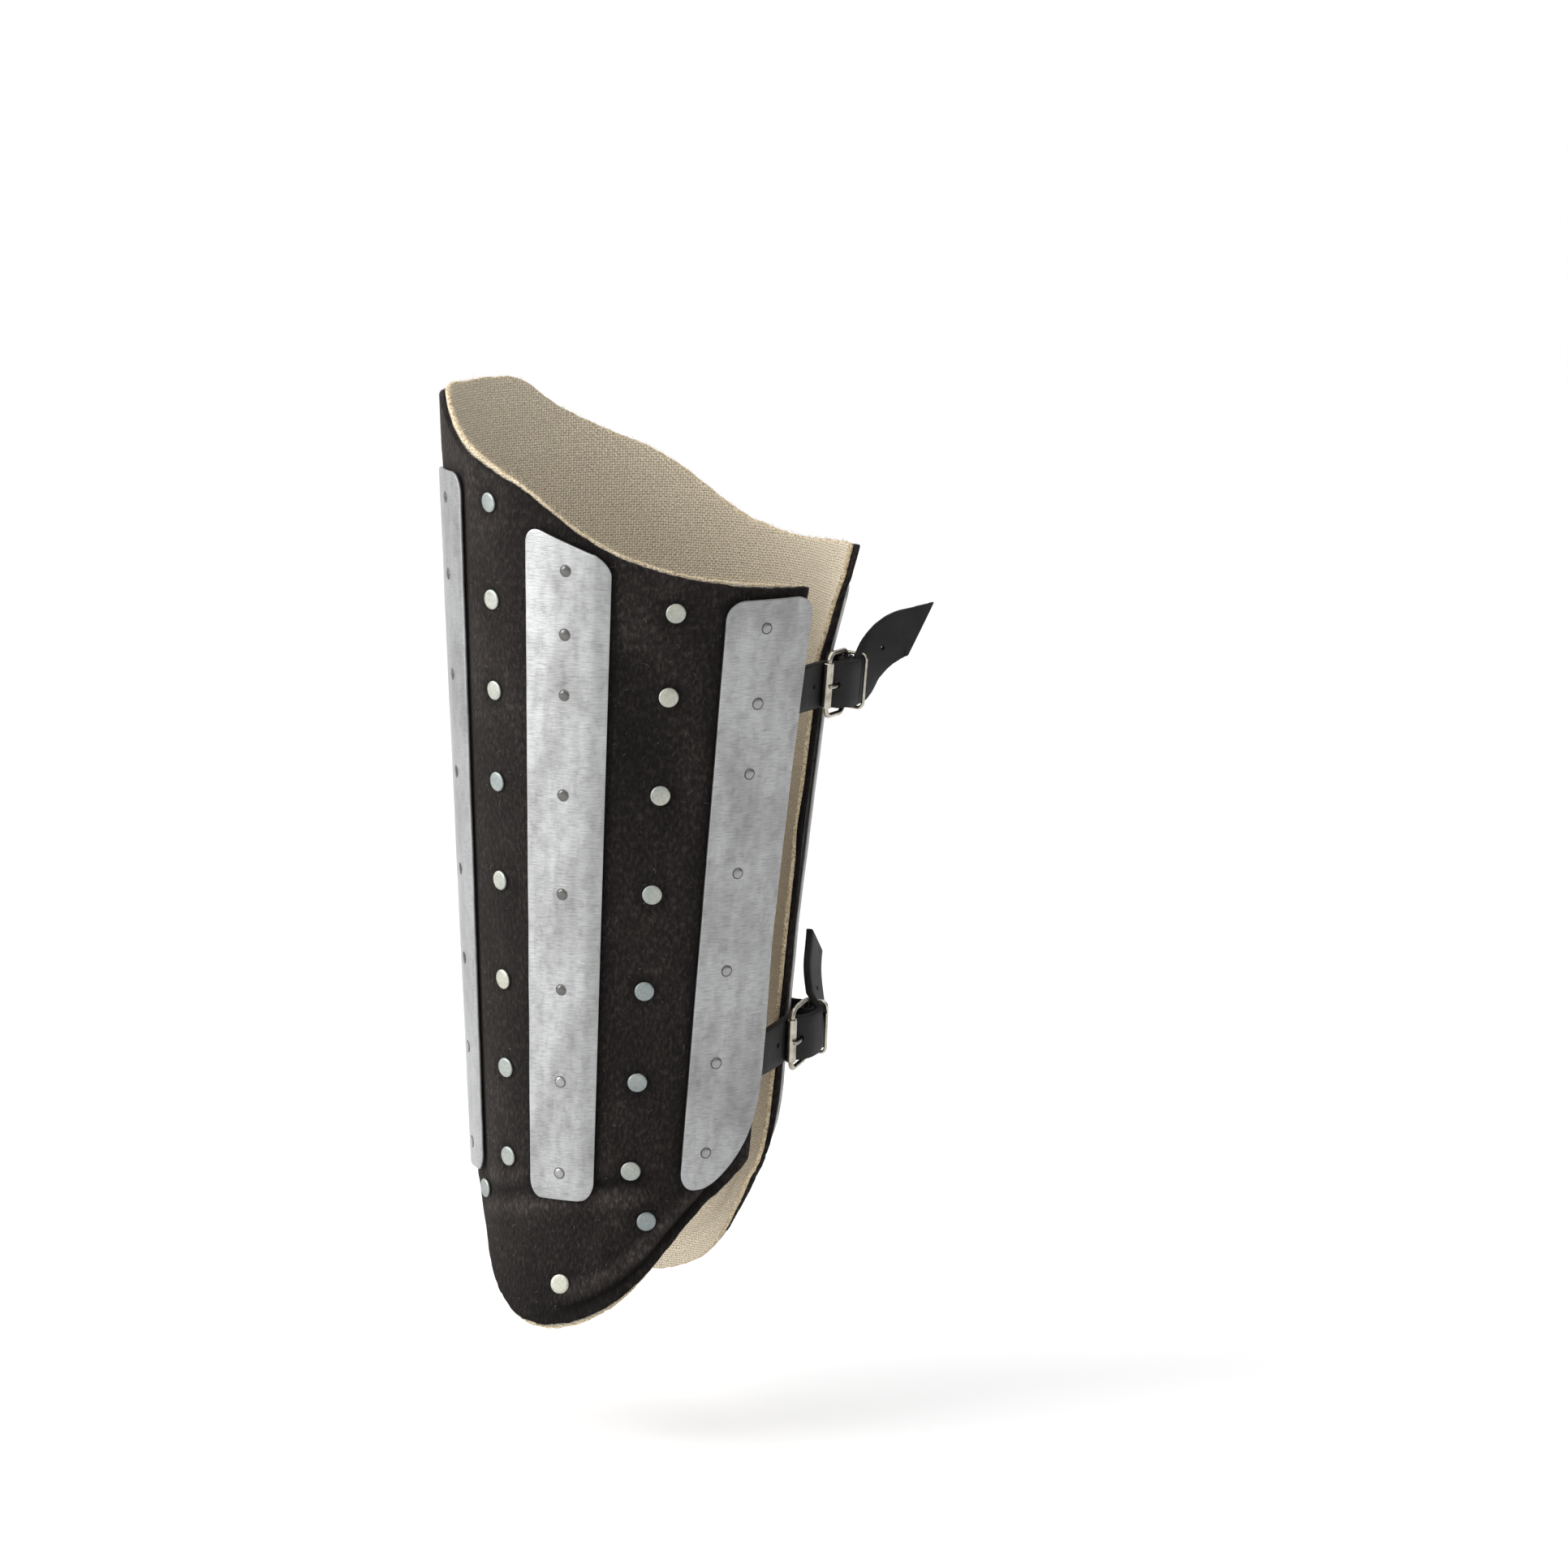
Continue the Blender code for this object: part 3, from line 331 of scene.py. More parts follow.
def toward(azimuth, elevation):
    a, e = math.radians(azimuth), math.radians(elevation)
    return Vector((math.sin(a) * math.cos(e), -math.cos(a) * math.cos(e), math.sin(e)))


def value_noise(x, y, seed):
    """Smooth noise between -1 and 1 on two arrays, one cell to a unit."""
    table = np.random.default_rng(seed).uniform(-1.0, 1.0, (64, 64))
    i = np.floor(np.asarray(x)).astype(int)
    j = np.floor(np.asarray(y)).astype(int)
    u = smooth_step(x - i)
    v = smooth_step(y - j)
    low, high = (table[i % 64, k % 64] * (1 - u) + table[(i + 1) % 64, k % 64] * u for k in (j, j + 1))
    return low * (1 - v) + high * v


class Batch:
    """Gathers vertices, faces, material numbers and surface coordinates for one object."""

    def __init__(self):
        self.verts = []
        self.faces = []
        self.slots = []
        self.coords = []
        self.count = 0

    def add(self, verts, faces, slots=0, coords=None):
        """Adds a part; slots is one material number, or one for each face."""
        verts = np.asarray(verts, float).reshape(-1, 3)
        coords = verts[:, (0, 2)] if coords is None else coords
        self.verts.append(verts)
        self.faces += [[int(i) + self.count for i in face] for face in faces]
        self.slots += [slots] * len(faces) if isinstance(slots, int) else slots
        self.coords.append(np.asarray(coords, float).reshape(-1, 2))
        self.count += len(verts)

    def build(self, name, finishes, crease=None, mend=False):
        """Makes the object; mend turns all its faces outward."""
        mesh = bpy.data.meshes.new(name)
        mesh.from_pydata(np.concatenate(self.verts).tolist(), [], self.faces)
        for finish in finishes:
            mesh.materials.append(finish)
        mesh.polygons.foreach_set("material_index", self.slots)
        layer = mesh.uv_layers.new(name="metres")
        corners = np.zeros(len(mesh.loops), int)
        mesh.loops.foreach_get("vertex_index", corners)
        layer.data.foreach_set("uv", np.concatenate(self.coords)[corners].astype(np.float32).ravel())
        mesh.shade_smooth()
        if crease:
            mesh.set_sharp_from_angle(angle=math.radians(crease))
        if mend:
            bm = bmesh.new()
            bm.from_mesh(mesh)
            bmesh.ops.recalc_face_normals(bm, faces=bm.faces)
            bm.to_mesh(mesh)
            bm.free()
        made = bpy.data.objects.new(name, mesh)
        bpy.context.scene.collection.objects.link(made)
        return made


def grid_quads(rows, cols, start, flip):
    corner = np.arange(rows - 1)[:, None] * cols + np.arange(cols - 1)[None, :] + start
    quads = np.stack([corner, corner + 1, corner + cols + 1, corner + cols], axis=-1).reshape(-1, 4)
    return quads[:, ::-1] if flip else quads


def add_thick_sheet(batch, middle, normals, half, bulge, coords, slots=(0, 0, 0)):
    """Closed sheet about a grid of points; slots are the outer face's, inner face's and rim's."""
    rows, cols = middle.shape[:2]
    border = [(0, j) for j in range(cols - 1)] + [(i, cols - 1) for i in range(rows - 1)]
    border += [(rows - 1, j) for j in range(cols - 1, 0, -1)] + [(i, 0) for i in range(rows - 1, 0, -1)]
    bi, bj = np.array(border).T
    edge, edge_normals = middle[bi, bj], normals[bi, bj]
    outward = unit(np.cross(np.roll(edge, -1, 0) - np.roll(edge, 1, 0), edge_normals))
    inside = middle[np.clip(bi, 1, rows - 2), np.clip(bj, 1, cols - 2)]
    if np.sum(outward * (edge - inside)) < 0.0:
        outward = -outward
    rings = [edge + half * s * edge_normals + bulge * c * outward
             for c, s in ((0.62, 0.86), (0.95, 0.45), (0.95, -0.45), (0.62, -0.86))]
    verts = np.concatenate([(middle + half * normals).reshape(-1, 3),
                            (middle - half * normals).reshape(-1, 3)] + rings)
    flat = coords.reshape(-1, 2)
    rim_coords = [coords[bi, bj] + RIM_STEP * (k + 1) for k in range(len(rings))]
    i, j = rows // 2, cols // 2
    turn = np.cross(middle[i, j + 1] - middle[i, j], middle[i + 1, j] - middle[i, j])
    flip = np.dot(turn, normals[i, j]) < 0.0
    size = rows * cols
    loops = [2 * size + k * len(border) + np.arange(len(border)) for k in range(len(rings))]
    loops = [bi * cols + bj] + loops + [size + bi * cols + bj]
    rim = np.concatenate([np.stack([upper, np.roll(upper, -1), np.roll(lower, -1), lower], axis=-1)
                          for upper, lower in zip(loops, loops[1:])])
    a, b, _, d = verts[rim[0]]
    if np.dot(np.cross(b - a, d - a), outward[0] + edge_normals[0]) < 0.0:
        rim = rim[:, ::-1]
    parts = (grid_quads(rows, cols, 0, flip), grid_quads(rows, cols, size, not flip), rim)
    numbers = [slot for part, slot in zip(parts, slots) for _ in part]
    batch.add(verts, np.concatenate(parts), numbers, np.concatenate([flat, flat] + rim_coords))


def tube_faces(count, sides, closed=False):
    """Quads between the rings of a tube, ring by ring, then its two ends unless it is closed."""
    faces = []
    for i in range(count if closed else count - 1):
        for k in range(sides):
            j, m = (i + 1) % count, (k + 1) % sides
            faces.append([i * sides + k, i * sides + m, j * sides + m, j * sides + k])
    if not closed:
        faces += [list(range(sides))[::-1], list(range((count - 1) * sides, count * sides))]
    return faces


def add_turned(batch, base, axis, profile, sides, slot=0, phase=0.0):
    """Closed solid of revolution: profile rows are level along the axis and radius."""
    axis = Vector(axis).normalized()
    side = axis.orthogonal().normalized()
    turns = 2.0 * np.pi * (np.arange(sides) + phase) / sides
    spokes = np.cos(turns)[:, None] * np.array(side) + np.sin(turns)[:, None] * np.array(axis.cross(side))
    rings = [np.array(base) + level * np.array(axis) + radius * spokes for level, radius in profile]
    coords = [radius * np.stack([np.cos(turns), np.sin(turns)], -1) for level, radius in profile]
    batch.add(np.concatenate(rings), tube_faces(len(profile), sides), slot, np.concatenate(coords))


def path_lengths(path):
    lengths = [0.0]
    for a, b in zip(path, path[1:]):
        lengths.append(lengths[-1] + (b - a).length)
    return lengths


def point_along(path, lengths, length):
    """Point at a length along a path, carried straight on past its end."""
    i = min(max(1, int(np.searchsorted(lengths, length))), len(path) - 1)
    share = (length - lengths[i - 1]) / (lengths[i] - lengths[i - 1])
    return path[i - 1] + share * (path[i] - path[i - 1])


def sweep(batch, path, uprights, sections, slots=(0,), closed=False, skew=0.0):
    """Sweeps a section of (across, outward) pairs along a path; each slot is one section side's."""
    count = len(path)
    lengths = path_lengths(path)
    first = sections[0]
    n = len(first)
    girth = [0.0]
    for p, q in zip(first, first[1:] + first[:1]):
        girth.append(girth[-1] + math.hypot(q[0] - p[0], q[1] - p[1]))
    reach = 1.3 * skew * max(across for across, outward in first)
    verts = []
    side = None
    for i, point in enumerate(path):
        before = path[i - 1] if i or closed else point
        after = path[(i + 1) % count] if i < count - 1 or closed else point
        tangent = (after - before).normalized()
        up = uprights[i] if uprights else (side or tangent.orthogonal())
        side = (up - up.dot(tangent) * tangent).normalized()
        out = tangent.cross(side)
        share = max(0.0, 1.0 - (lengths[-1] - lengths[i]) / reach) if skew else 0.0
        for across, outward in sections[min(i, len(sections) - 1)]:
            at = point_along(path, lengths, lengths[i] + skew * across * share) if share else point
            verts.append(at + across * side + outward * out)
    coords = [(length, girth[k]) for length in lengths for k in range(n)]
    rings = count if closed else count - 1
    numbers = [slots[k % len(slots)] for k in range(n)] * rings
    numbers += [] if closed else [slots[-1]] * 2
    batch.add([tuple(v) for v in verts], tube_faces(count, n, closed), numbers, coords)


def round_section(radius, sides):
    turns = [2.0 * math.pi * k / sides for k in range(sides)]
    return [(radius * math.cos(t), radius * math.sin(t)) for t in turns]


def catmull_rom(points, spacing):
    """Smooth curve through points, sampled about evenly."""
    padded = [2.0 * points[0] - points[1]] + list(points) + [2.0 * points[-1] - points[-2]]
    curve = [points[0]]
    for a, b, c, d in zip(padded, padded[1:], padded[2:], padded[3:]):
        before, here, after = ((q - p).length ** 0.5 for p, q in ((a, b), (b, c), (c, d)))
        leave = here * ((b - a) / before - (c - a) / (before + here) + (c - b) / here)
        arrive = here * ((c - b) / here - (d - b) / (here + after) + (d - c) / after)
        steps = max(1, round((c - b).length / spacing))
        for k in range(1, steps + 1):
            t = k / steps
            blend = t * t * (3.0 - 2.0 * t)
            curve.append(b + blend * (c - b) + t * (1.0 - t) ** 2 * leave - t * t * (1.0 - t) * arrive)
    return curve


class Nodes:
    """Short calls that build the node tree of a new material or world."""

    def __init__(self, owner):
        owner.use_nodes = True
        self.owner = owner
        self.tree = owner.node_tree

    def join(self, made, inputs):
        """Links sockets to a node's inputs and sets plain values on them."""
        for key, value in dict(inputs).items():
            if isinstance(value, bpy.types.NodeSocket):
                self.tree.links.new(value, made.inputs[key])
            else:
                colour = made.inputs[key].type == "RGBA"
                made.inputs[key].default_value = (*value, 1.0) if colour else value
        return made

    def add(self, kind, inputs=(), **settings):
        made = self.tree.nodes.new(kind)
        for key, value in settings.items():
            setattr(made, key, value)
        return self.join(made, inputs)

    def coords(self, scale):
        """Surface metres times a scale for each direction."""
        surface = self.add("ShaderNodeTexCoord").outputs["UV"]
        inputs = {0: surface, 1: (*scale, 1.0)}
        return self.add("ShaderNodeVectorMath", inputs, operation="MULTIPLY").outputs[0]

    def spot(self):
        """Place in space, in metres."""
        return self.add("ShaderNodeTexCoord").outputs["Object"]

    def noise(self, scale, detail=2.0, roughness=0.5, distortion=0.0):
        """Noise on the surface with a pair of scales, or in space with one."""
        vector, scale = (self.coords(scale), 1.0) if isinstance(scale, tuple) else (self.spot(), scale)
        return self.add("ShaderNodeTexNoise", {
            "Vector": vector, "Scale": scale, "Detail": detail, "Roughness": roughness,
            "Distortion": distortion}).outputs["Fac"]

    def cells(self, scale):
        return self.add("ShaderNodeTexVoronoi", {"Vector": self.spot(), "Scale": scale}).outputs["Distance"]

    def ramp(self, factor, *stops):
        """Colour ramp; a stop's colour may be one grey value."""
        made = self.add("ShaderNodeValToRGB", {"Fac": factor})
        elements = made.color_ramp.elements
        while len(elements) < len(stops):
            elements.new(0.5)
        for element, (position, colour) in zip(elements, stops):
            element.position = position
            element.color = (*(colour if isinstance(colour, tuple) else (colour,) * 3), 1.0)
        return made.outputs["Color"]

    def blend(self, factor, a, b, kind="MIX"):
        made = self.add("ShaderNodeMix", data_type="RGBA", blend_type=kind)
        return self.join(made, {0: factor, 6: a, 7: b}).outputs[2]

    def times(self, a, b, factor=1.0):
        return self.blend(factor, a, b, "MULTIPLY")

    def maths(self, operation, a, b=0.0):
        return self.add("ShaderNodeMath", {0: a, 1: b}, operation=operation).outputs[0]

    def scaled(self, value, factor, more):
        """Value times factor, plus more."""
        return self.maths("ADD", self.maths("MULTIPLY", value, factor), more)

    def map_range(self, value, low, high, to_low=0.0, to_high=1.0):
        return self.add("ShaderNodeMapRange", {"Value": value, "From Min": low, "From Max": high,
                                               "To Min": to_low, "To Max": to_high}).outputs[0]

    def bump(self, *layers):
        """Bumps on one another, coarsest first: height, distance and strength of each."""
        inputs = {}
        for height, distance, strength in layers:
            inputs.update({"Height": height, "Distance": distance, "Strength": strength})
            inputs["Normal"] = self.add("ShaderNodeBump", inputs).outputs["Normal"]
        return inputs["Normal"]

    def shade(self, colour, roughness, **others):
        """Sets the shader and gives back the material; others are its inputs with _ for a space."""
        inputs = {key.replace("_", " "): value for key, value in others.items()}
        inputs.update({"Base Color": colour, "Roughness": roughness})
        self.join(self.tree.nodes["Principled BSDF"], inputs)
        return self.owner


def new_look(name):
    return Nodes(bpy.data.materials.new(name))


def felt_material():
    """Fulled black wool: fine matted fibre lying downward, small clumps, brownish where it is worn; painted
    shade in its creases and pressed spots and a painted highlight on its crests.
    """
    look = new_look("felt_black")
    nap = look.noise((2100.0, 800.0), 4.0, 0.65, 0.8)
    clumps = look.noise((640.0, 360.0), 3.0, 0.6, 0.5)
    patches = look.noise((60.0, 26.0), 3.0)
    fine = look.noise((4200.0, 4200.0), 2.0, 0.6)
    wool = look.ramp(clumps, (0.34, (0.0050, 0.0041, 0.0040)), (0.52, (0.0100, 0.0083, 0.0078)),
                     (0.70, (0.0250, 0.0212, 0.0190)))
    worn = look.times(wool, look.ramp(patches, (0.35, 0.82), (0.70, 1.18)))
    hairs = look.maths("MULTIPLY", look.ramp(nap, (0.58, 0.0), (0.76, 1.0)), 0.42)
    haired = look.blend(hairs, worn, (0.052, 0.044, 0.040))
    rise = look.add("ShaderNodeAttribute", attribute_name=RISE).outputs["Fac"]
    # painted shade and highlight: darker where the felt sinks in creases, the seam and beside plates and
    # rivets, lighter on its crests
    folds = look.ramp(look.map_range(rise, -0.0014, 0.0021), (0.0, 0.30), (0.40, 1.0), (1.0, 3.0))
    normal = look.bump((clumps, 0.0007, 0.9), (nap, 0.00035, 0.85), (fine, 0.00014, 0.7))
    return look.shade(look.times(haired, folds), 0.95, Normal=normal, Specular_IOR_Level=0.12,
                      Sheen_Weight=0.09, Sheen_Roughness=0.45, Sheen_Tint=(0.62, 0.55, 0.50))


def weave_material(light, dark, pitch):
    """Coarse plain weave with slubs: two crossed sets of round threads in surface metres, with painted
    shade down between them.
    """
    look = new_look("lining_weave")
    wobble = look.maths("MULTIPLY", look.noise((90.0, 90.0)), 1.2)
    surface = look.add("ShaderNodeSeparateXYZ", {0: look.coords((1.0 / pitch, 1.0 / pitch))})
    runs = [look.maths("ADD", surface.outputs[axis], wobble) for axis in ("X", "Y")]
    threads = [look.maths("SINE", look.maths("MULTIPLY", run, math.pi)) for run in runs]
    warp, weft = (look.maths("ABSOLUTE", t) for t in threads)
    above = look.maths("GREATER_THAN", look.maths("MULTIPLY", *threads), 0.0)
    height = look.blend(above, warp, weft)
    slub = look.noise((900.0, 900.0), 3.0, 0.6)
    # painted shade: the low places between the threads are darker
    colour = look.times(look.ramp(height, (0.10, dark), (0.55, light), (1.0, light)),
                        look.ramp(slub, (0.30, 0.62), (0.65, 1.08)))
    return look.shade(colour, 0.9, Specular_IOR_Level=0.2, Sheen_Weight=0.1,
                      Normal=look.bump((height, 0.0004, 0.8), (slub, 0.0002, 0.6)))


def cut_weave_material():
    """Cut edge of the lining: loose thread ends, flecked cream and tan, with painted shadow between the
    ends.
    """
    look = new_look("lining_cut_edge")
    ends = look.cells(1500.0)
    tone = look.noise(900.0, 3.0, 0.65)
    stain = look.noise(60.0)
    fibre = look.ramp(tone, (0.30, (0.34, 0.27, 0.18)), (0.48, (0.66, 0.57, 0.42)),
                      (0.66, (0.86, 0.78, 0.64)))
    # painted shadow: darker away from the middle of each thread end
    fibre_and_painted_shadow = look.times(fibre, look.ramp(ends, (0.30, 1.0), (0.85, 0.55)))
    colour = look.times(fibre_and_painted_shadow, look.ramp(stain, (0.35, (1.0, 0.93, 0.82)), (0.65, (1.05, 1.0, 0.94))))
    return look.shade(colour, 0.92, Specular_IOR_Level=0.2,
                      Normal=look.bump((ends, 0.0005, 0.8), (tone, 0.0003, 0.7)))


def steel_material(name, light, dark, roughness, streak=1.0):
    """Satin plate: short strokes across it, faint mottling, long soft bands of painted reflection up it,
    and soft dents that bend the shine.
    """
    look = new_look(name)
    strokes = look.noise((170.0, 1900.0), 4.0, 0.62, 0.35)
    hairlines = look.noise((420.0, 5600.0), 2.0, 0.6)
    mottle = look.noise((210.0, 130.0), 4.0, 0.6, 0.3)
    blotches = look.noise((42.0, 24.0), 4.0, 0.55, 0.25)
    hollows = look.noise((75.0, 38.0), 1.0, 0.4)
    # painted reflection: long lighter and darker bands up the plate
    painted_reflection_bands = look.noise((120.0, 5.0), 2.0, 0.5, 0.1)
    tone = look.ramp(blotches, (0.32, dark), (0.55, light), (0.78, tuple(1.08 * c for c in light)))
    tone_with_painted_reflections = look.times(tone, look.ramp(painted_reflection_bands, (0.36, 0.78), (0.50, 1.0), (0.66, 1.14)), 0.30)
    mottled = look.times(tone_with_painted_reflections, look.ramp(mottle, (0.34, 0.80), (0.50, 1.0), (0.72, 1.10)), 0.75)
    lines = look.ramp(strokes, (0.30, 0.68), (0.52, 1.0), (0.72, 1.16))
    uneven = look.scaled(mottle, 0.12, look.maths("MULTIPLY", strokes, 0.14))
    normal = look.bump((hollows, 0.0009, 0.30), (strokes, 0.00009, 0.8 * streak),
                       (hairlines, 0.00004, 0.6 * streak))
    return look.shade(look.times(mottled, lines, 0.85 * streak),
                      look.maths("ADD", uneven, roughness - 0.13), Metallic=1.0, Normal=normal)


def rivet_material():
    """Satin rivet heads, each of its own tone, with faint scuffs."""
    look = new_look("rivet_head")
    scuffs = look.noise(900.0, 3.0, 0.6, 0.8)
    tone = look.ramp(look.noise(31.0, 0.0), (0.34, (0.25, 0.28, 0.28)), (0.50, (0.33, 0.35, 0.325)),
                     (0.64, (0.43, 0.43, 0.37)))
    colour = look.times(tone, look.ramp(scuffs, (0.30, 0.72), (0.60, 1.05)), 0.9)
    return look.shade(colour, look.scaled(scuffs, 0.28, 0.32), Metallic=1.0,
                      Normal=look.bump((scuffs, 0.00012, 0.6)))


def leather_material(name, roughness, grain, dark, light):
    """Dyed strap leather: pebbled grain, faint creases across and rubbed patches."""
    look = new_look(name)
    creases = look.noise((900.0, 90.0), 3.0, 0.6, 0.7)
    rubbed = look.noise(150.0, 4.0, 0.6)
    return look.shade(look.ramp(rubbed, (0.35, dark), (0.70, light)),
                      look.scaled(rubbed, 0.30, roughness - 0.15), Specular_IOR_Level=0.22,
                      Normal=look.bump((look.cells(grain), 0.00016, 0.55), (creases, 0.00022, 0.35)))


def nickel_material():
    """Bright plated wire with fine drawing marks and a warm cast."""
    look = new_look("nickel_wire")
    marks = look.noise(1300.0, 3.0, 0.6)
    tarnish = look.ramp(look.noise(210.0, 3.0, 0.6), (0.32, (0.30, 0.27, 0.21)), (0.60, (0.50, 0.47, 0.41)))
    return look.shade(tarnish, look.scaled(marks, 0.20, 0.12), Metallic=1.0,
                      Normal=look.bump((marks, 0.00005, 0.5)))


def mottled_material(name, scale, dark, light, roughness=0.8, **others):
    """Plain mottled finish for fibres, the dark rings round the small rivets' feet and the floor."""
    look = new_look(name)
    return look.shade(look.ramp(look.noise(scale), dark, light), roughness, **others)


def fibre_material(name, dark, light):
    return mottled_material(name, 260.0, (0.35, dark), (0.65, light), Specular_IOR_Level=0.25)


FELT = felt_material()
WEAVE = weave_material((0.78, 0.69, 0.54), (0.27, 0.21, 0.135), 0.0011)
CUT_WEAVE = cut_weave_material()
STEEL = steel_material("splint_steel", (0.372, 0.374, 0.377), (0.270, 0.270, 0.270), 0.35)
SMALL_HEAD = steel_material("small_rivet_steel", (0.34, 0.34, 0.335), (0.25, 0.25, 0.25), 0.30, 0.4)
# darker copy of the small heads' steel, a painted dark reflection
DARK_REFLECTION_HEAD = steel_material("small_rivet_dark", (0.150, 0.147, 0.142), (0.075, 0.073, 0.070), 0.24, 0.4)
RIVET = rivet_material()
# dark ring round the foot of each small rivet head
HEAD_FOOT_RING = mottled_material("rivet_grime", 2600.0, (0.35, (0.035, 0.033, 0.030)), (0.65, (0.16, 0.155, 0.145)),
                         0.6, Metallic=0.4)
LEATHER = leather_material("strap_leather", 0.54, 2600.0, (0.0062, 0.0062, 0.0065),
                           (0.0135, 0.0131, 0.0133))
LEATHER_EDGE = leather_material("strap_cut_edge", 0.78, 1500.0, (0.004, 0.004, 0.004),
                                (0.018, 0.016, 0.015))
FLESH_SIDE = leather_material("strap_flesh_side", 0.72, 1700.0, (0.040, 0.038, 0.038),
                              (0.095, 0.090, 0.088))
NICKEL = nickel_material()
LINT = fibre_material("lint", (0.085, 0.080, 0.075), (0.34, 0.33, 0.31))
CREAM_FIBRE = fibre_material("lining_threads", (0.42, 0.35, 0.23), (0.80, 0.71, 0.54))
NAP = fibre_material("felt_nap", (0.010, 0.008, 0.008), (0.040, 0.033, 0.030))
THREAD = fibre_material("seam_thread", (0.008, 0.007, 0.007), (0.022, 0.020, 0.019))


def splint_half_width(row):
    return math.degrees(0.5 * SPLINT_WIDTH * row.width / section_radius(row.top * HEIGHT))


def splint_middle(row, height):
    rise = (height / HEIGHT - row.foot) / (row.top - row.foot)
    return row.foot_azimuth + (row.top_azimuth - row.foot_azimuth) * rise


def splint_azimuth(row, side, share, height):
    return side * (splint_middle(row, height) + splint_half_width(row) * (2.0 * share - 1.0))


def under_splint(azimuth, height, margin):
    """Whether a splint covers a spot, with a margin in degrees beside it."""
    return any(abs(abs(azimuth) - splint_middle(row, height)) < splint_half_width(row) + margin
               and row.foot * HEIGHT - 0.001 < height < row.top * HEIGHT + 0.001 for row in SPLINTS)


def field_rivets():
    """Name of the solid or None, azimuth and height of every large rivet."""
    places = []
    for side, sign in (("outer", 1.0), ("inner", -1.0)):
        for title, (foot, top, shares) in (("front", FRONT_COLUMN), ("back", BACK_COLUMN)):
            for k, share in enumerate(shares):
                azimuth = foot + (top - foot) * (share - shares[0]) / (shares[-1] - shares[0])
                places.append((f"rivet_{side}_{title}_{k + 1}", sign * azimuth, share * HEIGHT))
        for k, (azimuth, share) in enumerate(FLAP_RIVETS):
            places.append((f"rivet_{side}_flap_{k + 1}", sign * azimuth, share * HEIGHT))
    places += [(f"rivet_centre_{k + 1}", 0.0, share * HEIGHT) for k, share in enumerate(CENTRE_SHARES)]
    return places + [(None, 0.0, share * HEIGHT) for share in CENTRE_BETWEEN_SHARES]


def felt_relief(azimuth, height):
    """Outward rise of the felt: pressed under plates and rivets, soft swells and folds between."""
    turned = np.abs(azimuth)
    inner = azimuth < 0
    swell = 0.0
    for k, (rise, wide, high, shift) in enumerate(SWELLS):
        across = arc(turned, height) / wide + shift * inner
        swell = swell + rise * value_noise(across, height / high, SEED + k)
    free = np.ones_like(azimuth)
    pressed = np.zeros_like(azimuth)
    for row in SPLINTS:
        beyond = arc(np.abs(turned - splint_middle(row, height)) - splint_half_width(row), height)
        above = np.maximum(row.foot * HEIGHT - height, height - row.top * HEIGHT)
        gap = np.where((beyond > 0) & (above > 0), np.hypot(beyond, above), np.maximum(beyond, above))
        free *= smooth_step(gap / 0.008)
        pressed = np.maximum(pressed, 1.0 - smooth_step((gap + 0.001) / 0.005))
    for _, spot, level in field_rivets():
        gap = np.hypot(arc(azimuth - spot, height), height - level)
        free *= smooth_step((gap - 0.003) / 0.008)
        pressed = np.maximum(pressed, 0.75 * (1.0 - smooth_step((gap - 0.0035) / 0.006)))
    relief = swell * free - PRESS_DEPTH * pressed

    wrap = between(turned, 40.0, 15.0, 132.0, 14.0)
    fold_line = FOLD_HEIGHT + FOLD_WAVE * np.sin(np.radians((turned - 70.0) * 1.6))
    fold = (height - fold_line) / FOLD_WIDTH
    relief += wrap * (0.0017 * bell(fold + 1.8) + free * 0.0012 * bell(fold - 1.6) - 0.0010 * bell(fold))
    hem = (height - HEIGHT * bottom_edge(azimuth)) * math.cos(math.radians(HEM_SLOPE))
    roll = bell((hem - 0.0105) / 0.0030) - 0.8 * bell((hem - 0.0055) / 0.0022)
    relief += between(turned, 84.0, 16.0, 160.0, 12.0) * 0.0017 * roll
    seam = arc(BACK_EDGE_AZIMUTH - turned, height)
    relief -= 0.0005 * bell((seam - SEAM_INSET) / 0.0009)
    wave = value_noise(height / 0.021 + 9.0 * inner, 0.0, SEED + 2)
    return relief + smooth_step(1.0 - seam / 0.014) * 0.0013 * wave


def corner_curl(azimuth, height):
    """Extra outward roll of the inner side's top back corner."""
    back = arc(BACK_EDGE_AZIMUTH - np.abs(azimuth), height)
    below = HEIGHT * top_edge(azimuth) - height
    reach = smooth_step(1.0 - back / 0.016) * smooth_step(1.0 - below / 0.030)
    return np.where(azimuth < 0.0, CURL, 0.3 * CURL) * reach


def lining_past(azimuth):
    """How far the lining stands past the cover at the foot and at the top."""
    turned = np.abs(azimuth)
    return [0.001 * table_value(turned, rows) for rows in (LINING_PAST_FOOT, LINING_PAST_TOP)]


def ragged(azimuth, height, amount, scale, seed):
    """Moves the cut edges in and out a little, least away from them."""
    wander = value_noise(azimuth / scale, 0.0, seed)
    wander = wander + 0.5 * value_noise(azimuth / (0.37 * scale), 0.0, seed + 1)
    share = np.linspace(0.0, 1.0, height.shape[0])[:, None]
    near = np.exp(-share / 0.012) - np.exp(-(1.0 - share) / 0.012)
    return height + amount * wander * near


def grid_normals(points, azimuth, height):
    normals = unit(np.cross(np.gradient(points, axis=1), np.gradient(points, axis=0)))
    inward = np.sum(normals * shell_normals(azimuth, height), -1, keepdims=True) < 0.0
    return np.where(inward, -normals, normals)


def sheet_area(points):
    """Area of a grid of points, from the two triangles of each cell."""
    low, high = points[:-1], points[1:]
    near = np.cross(high[:, :-1] - low[:, :-1], low[:, 1:] - low[:, :-1])
    far = np.cross(high[:, :-1] - high[:, 1:], low[:, 1:] - high[:, 1:])
    return 0.5 * float(np.linalg.norm(near, axis=-1).sum() + np.linalg.norm(far, axis=-1).sum())


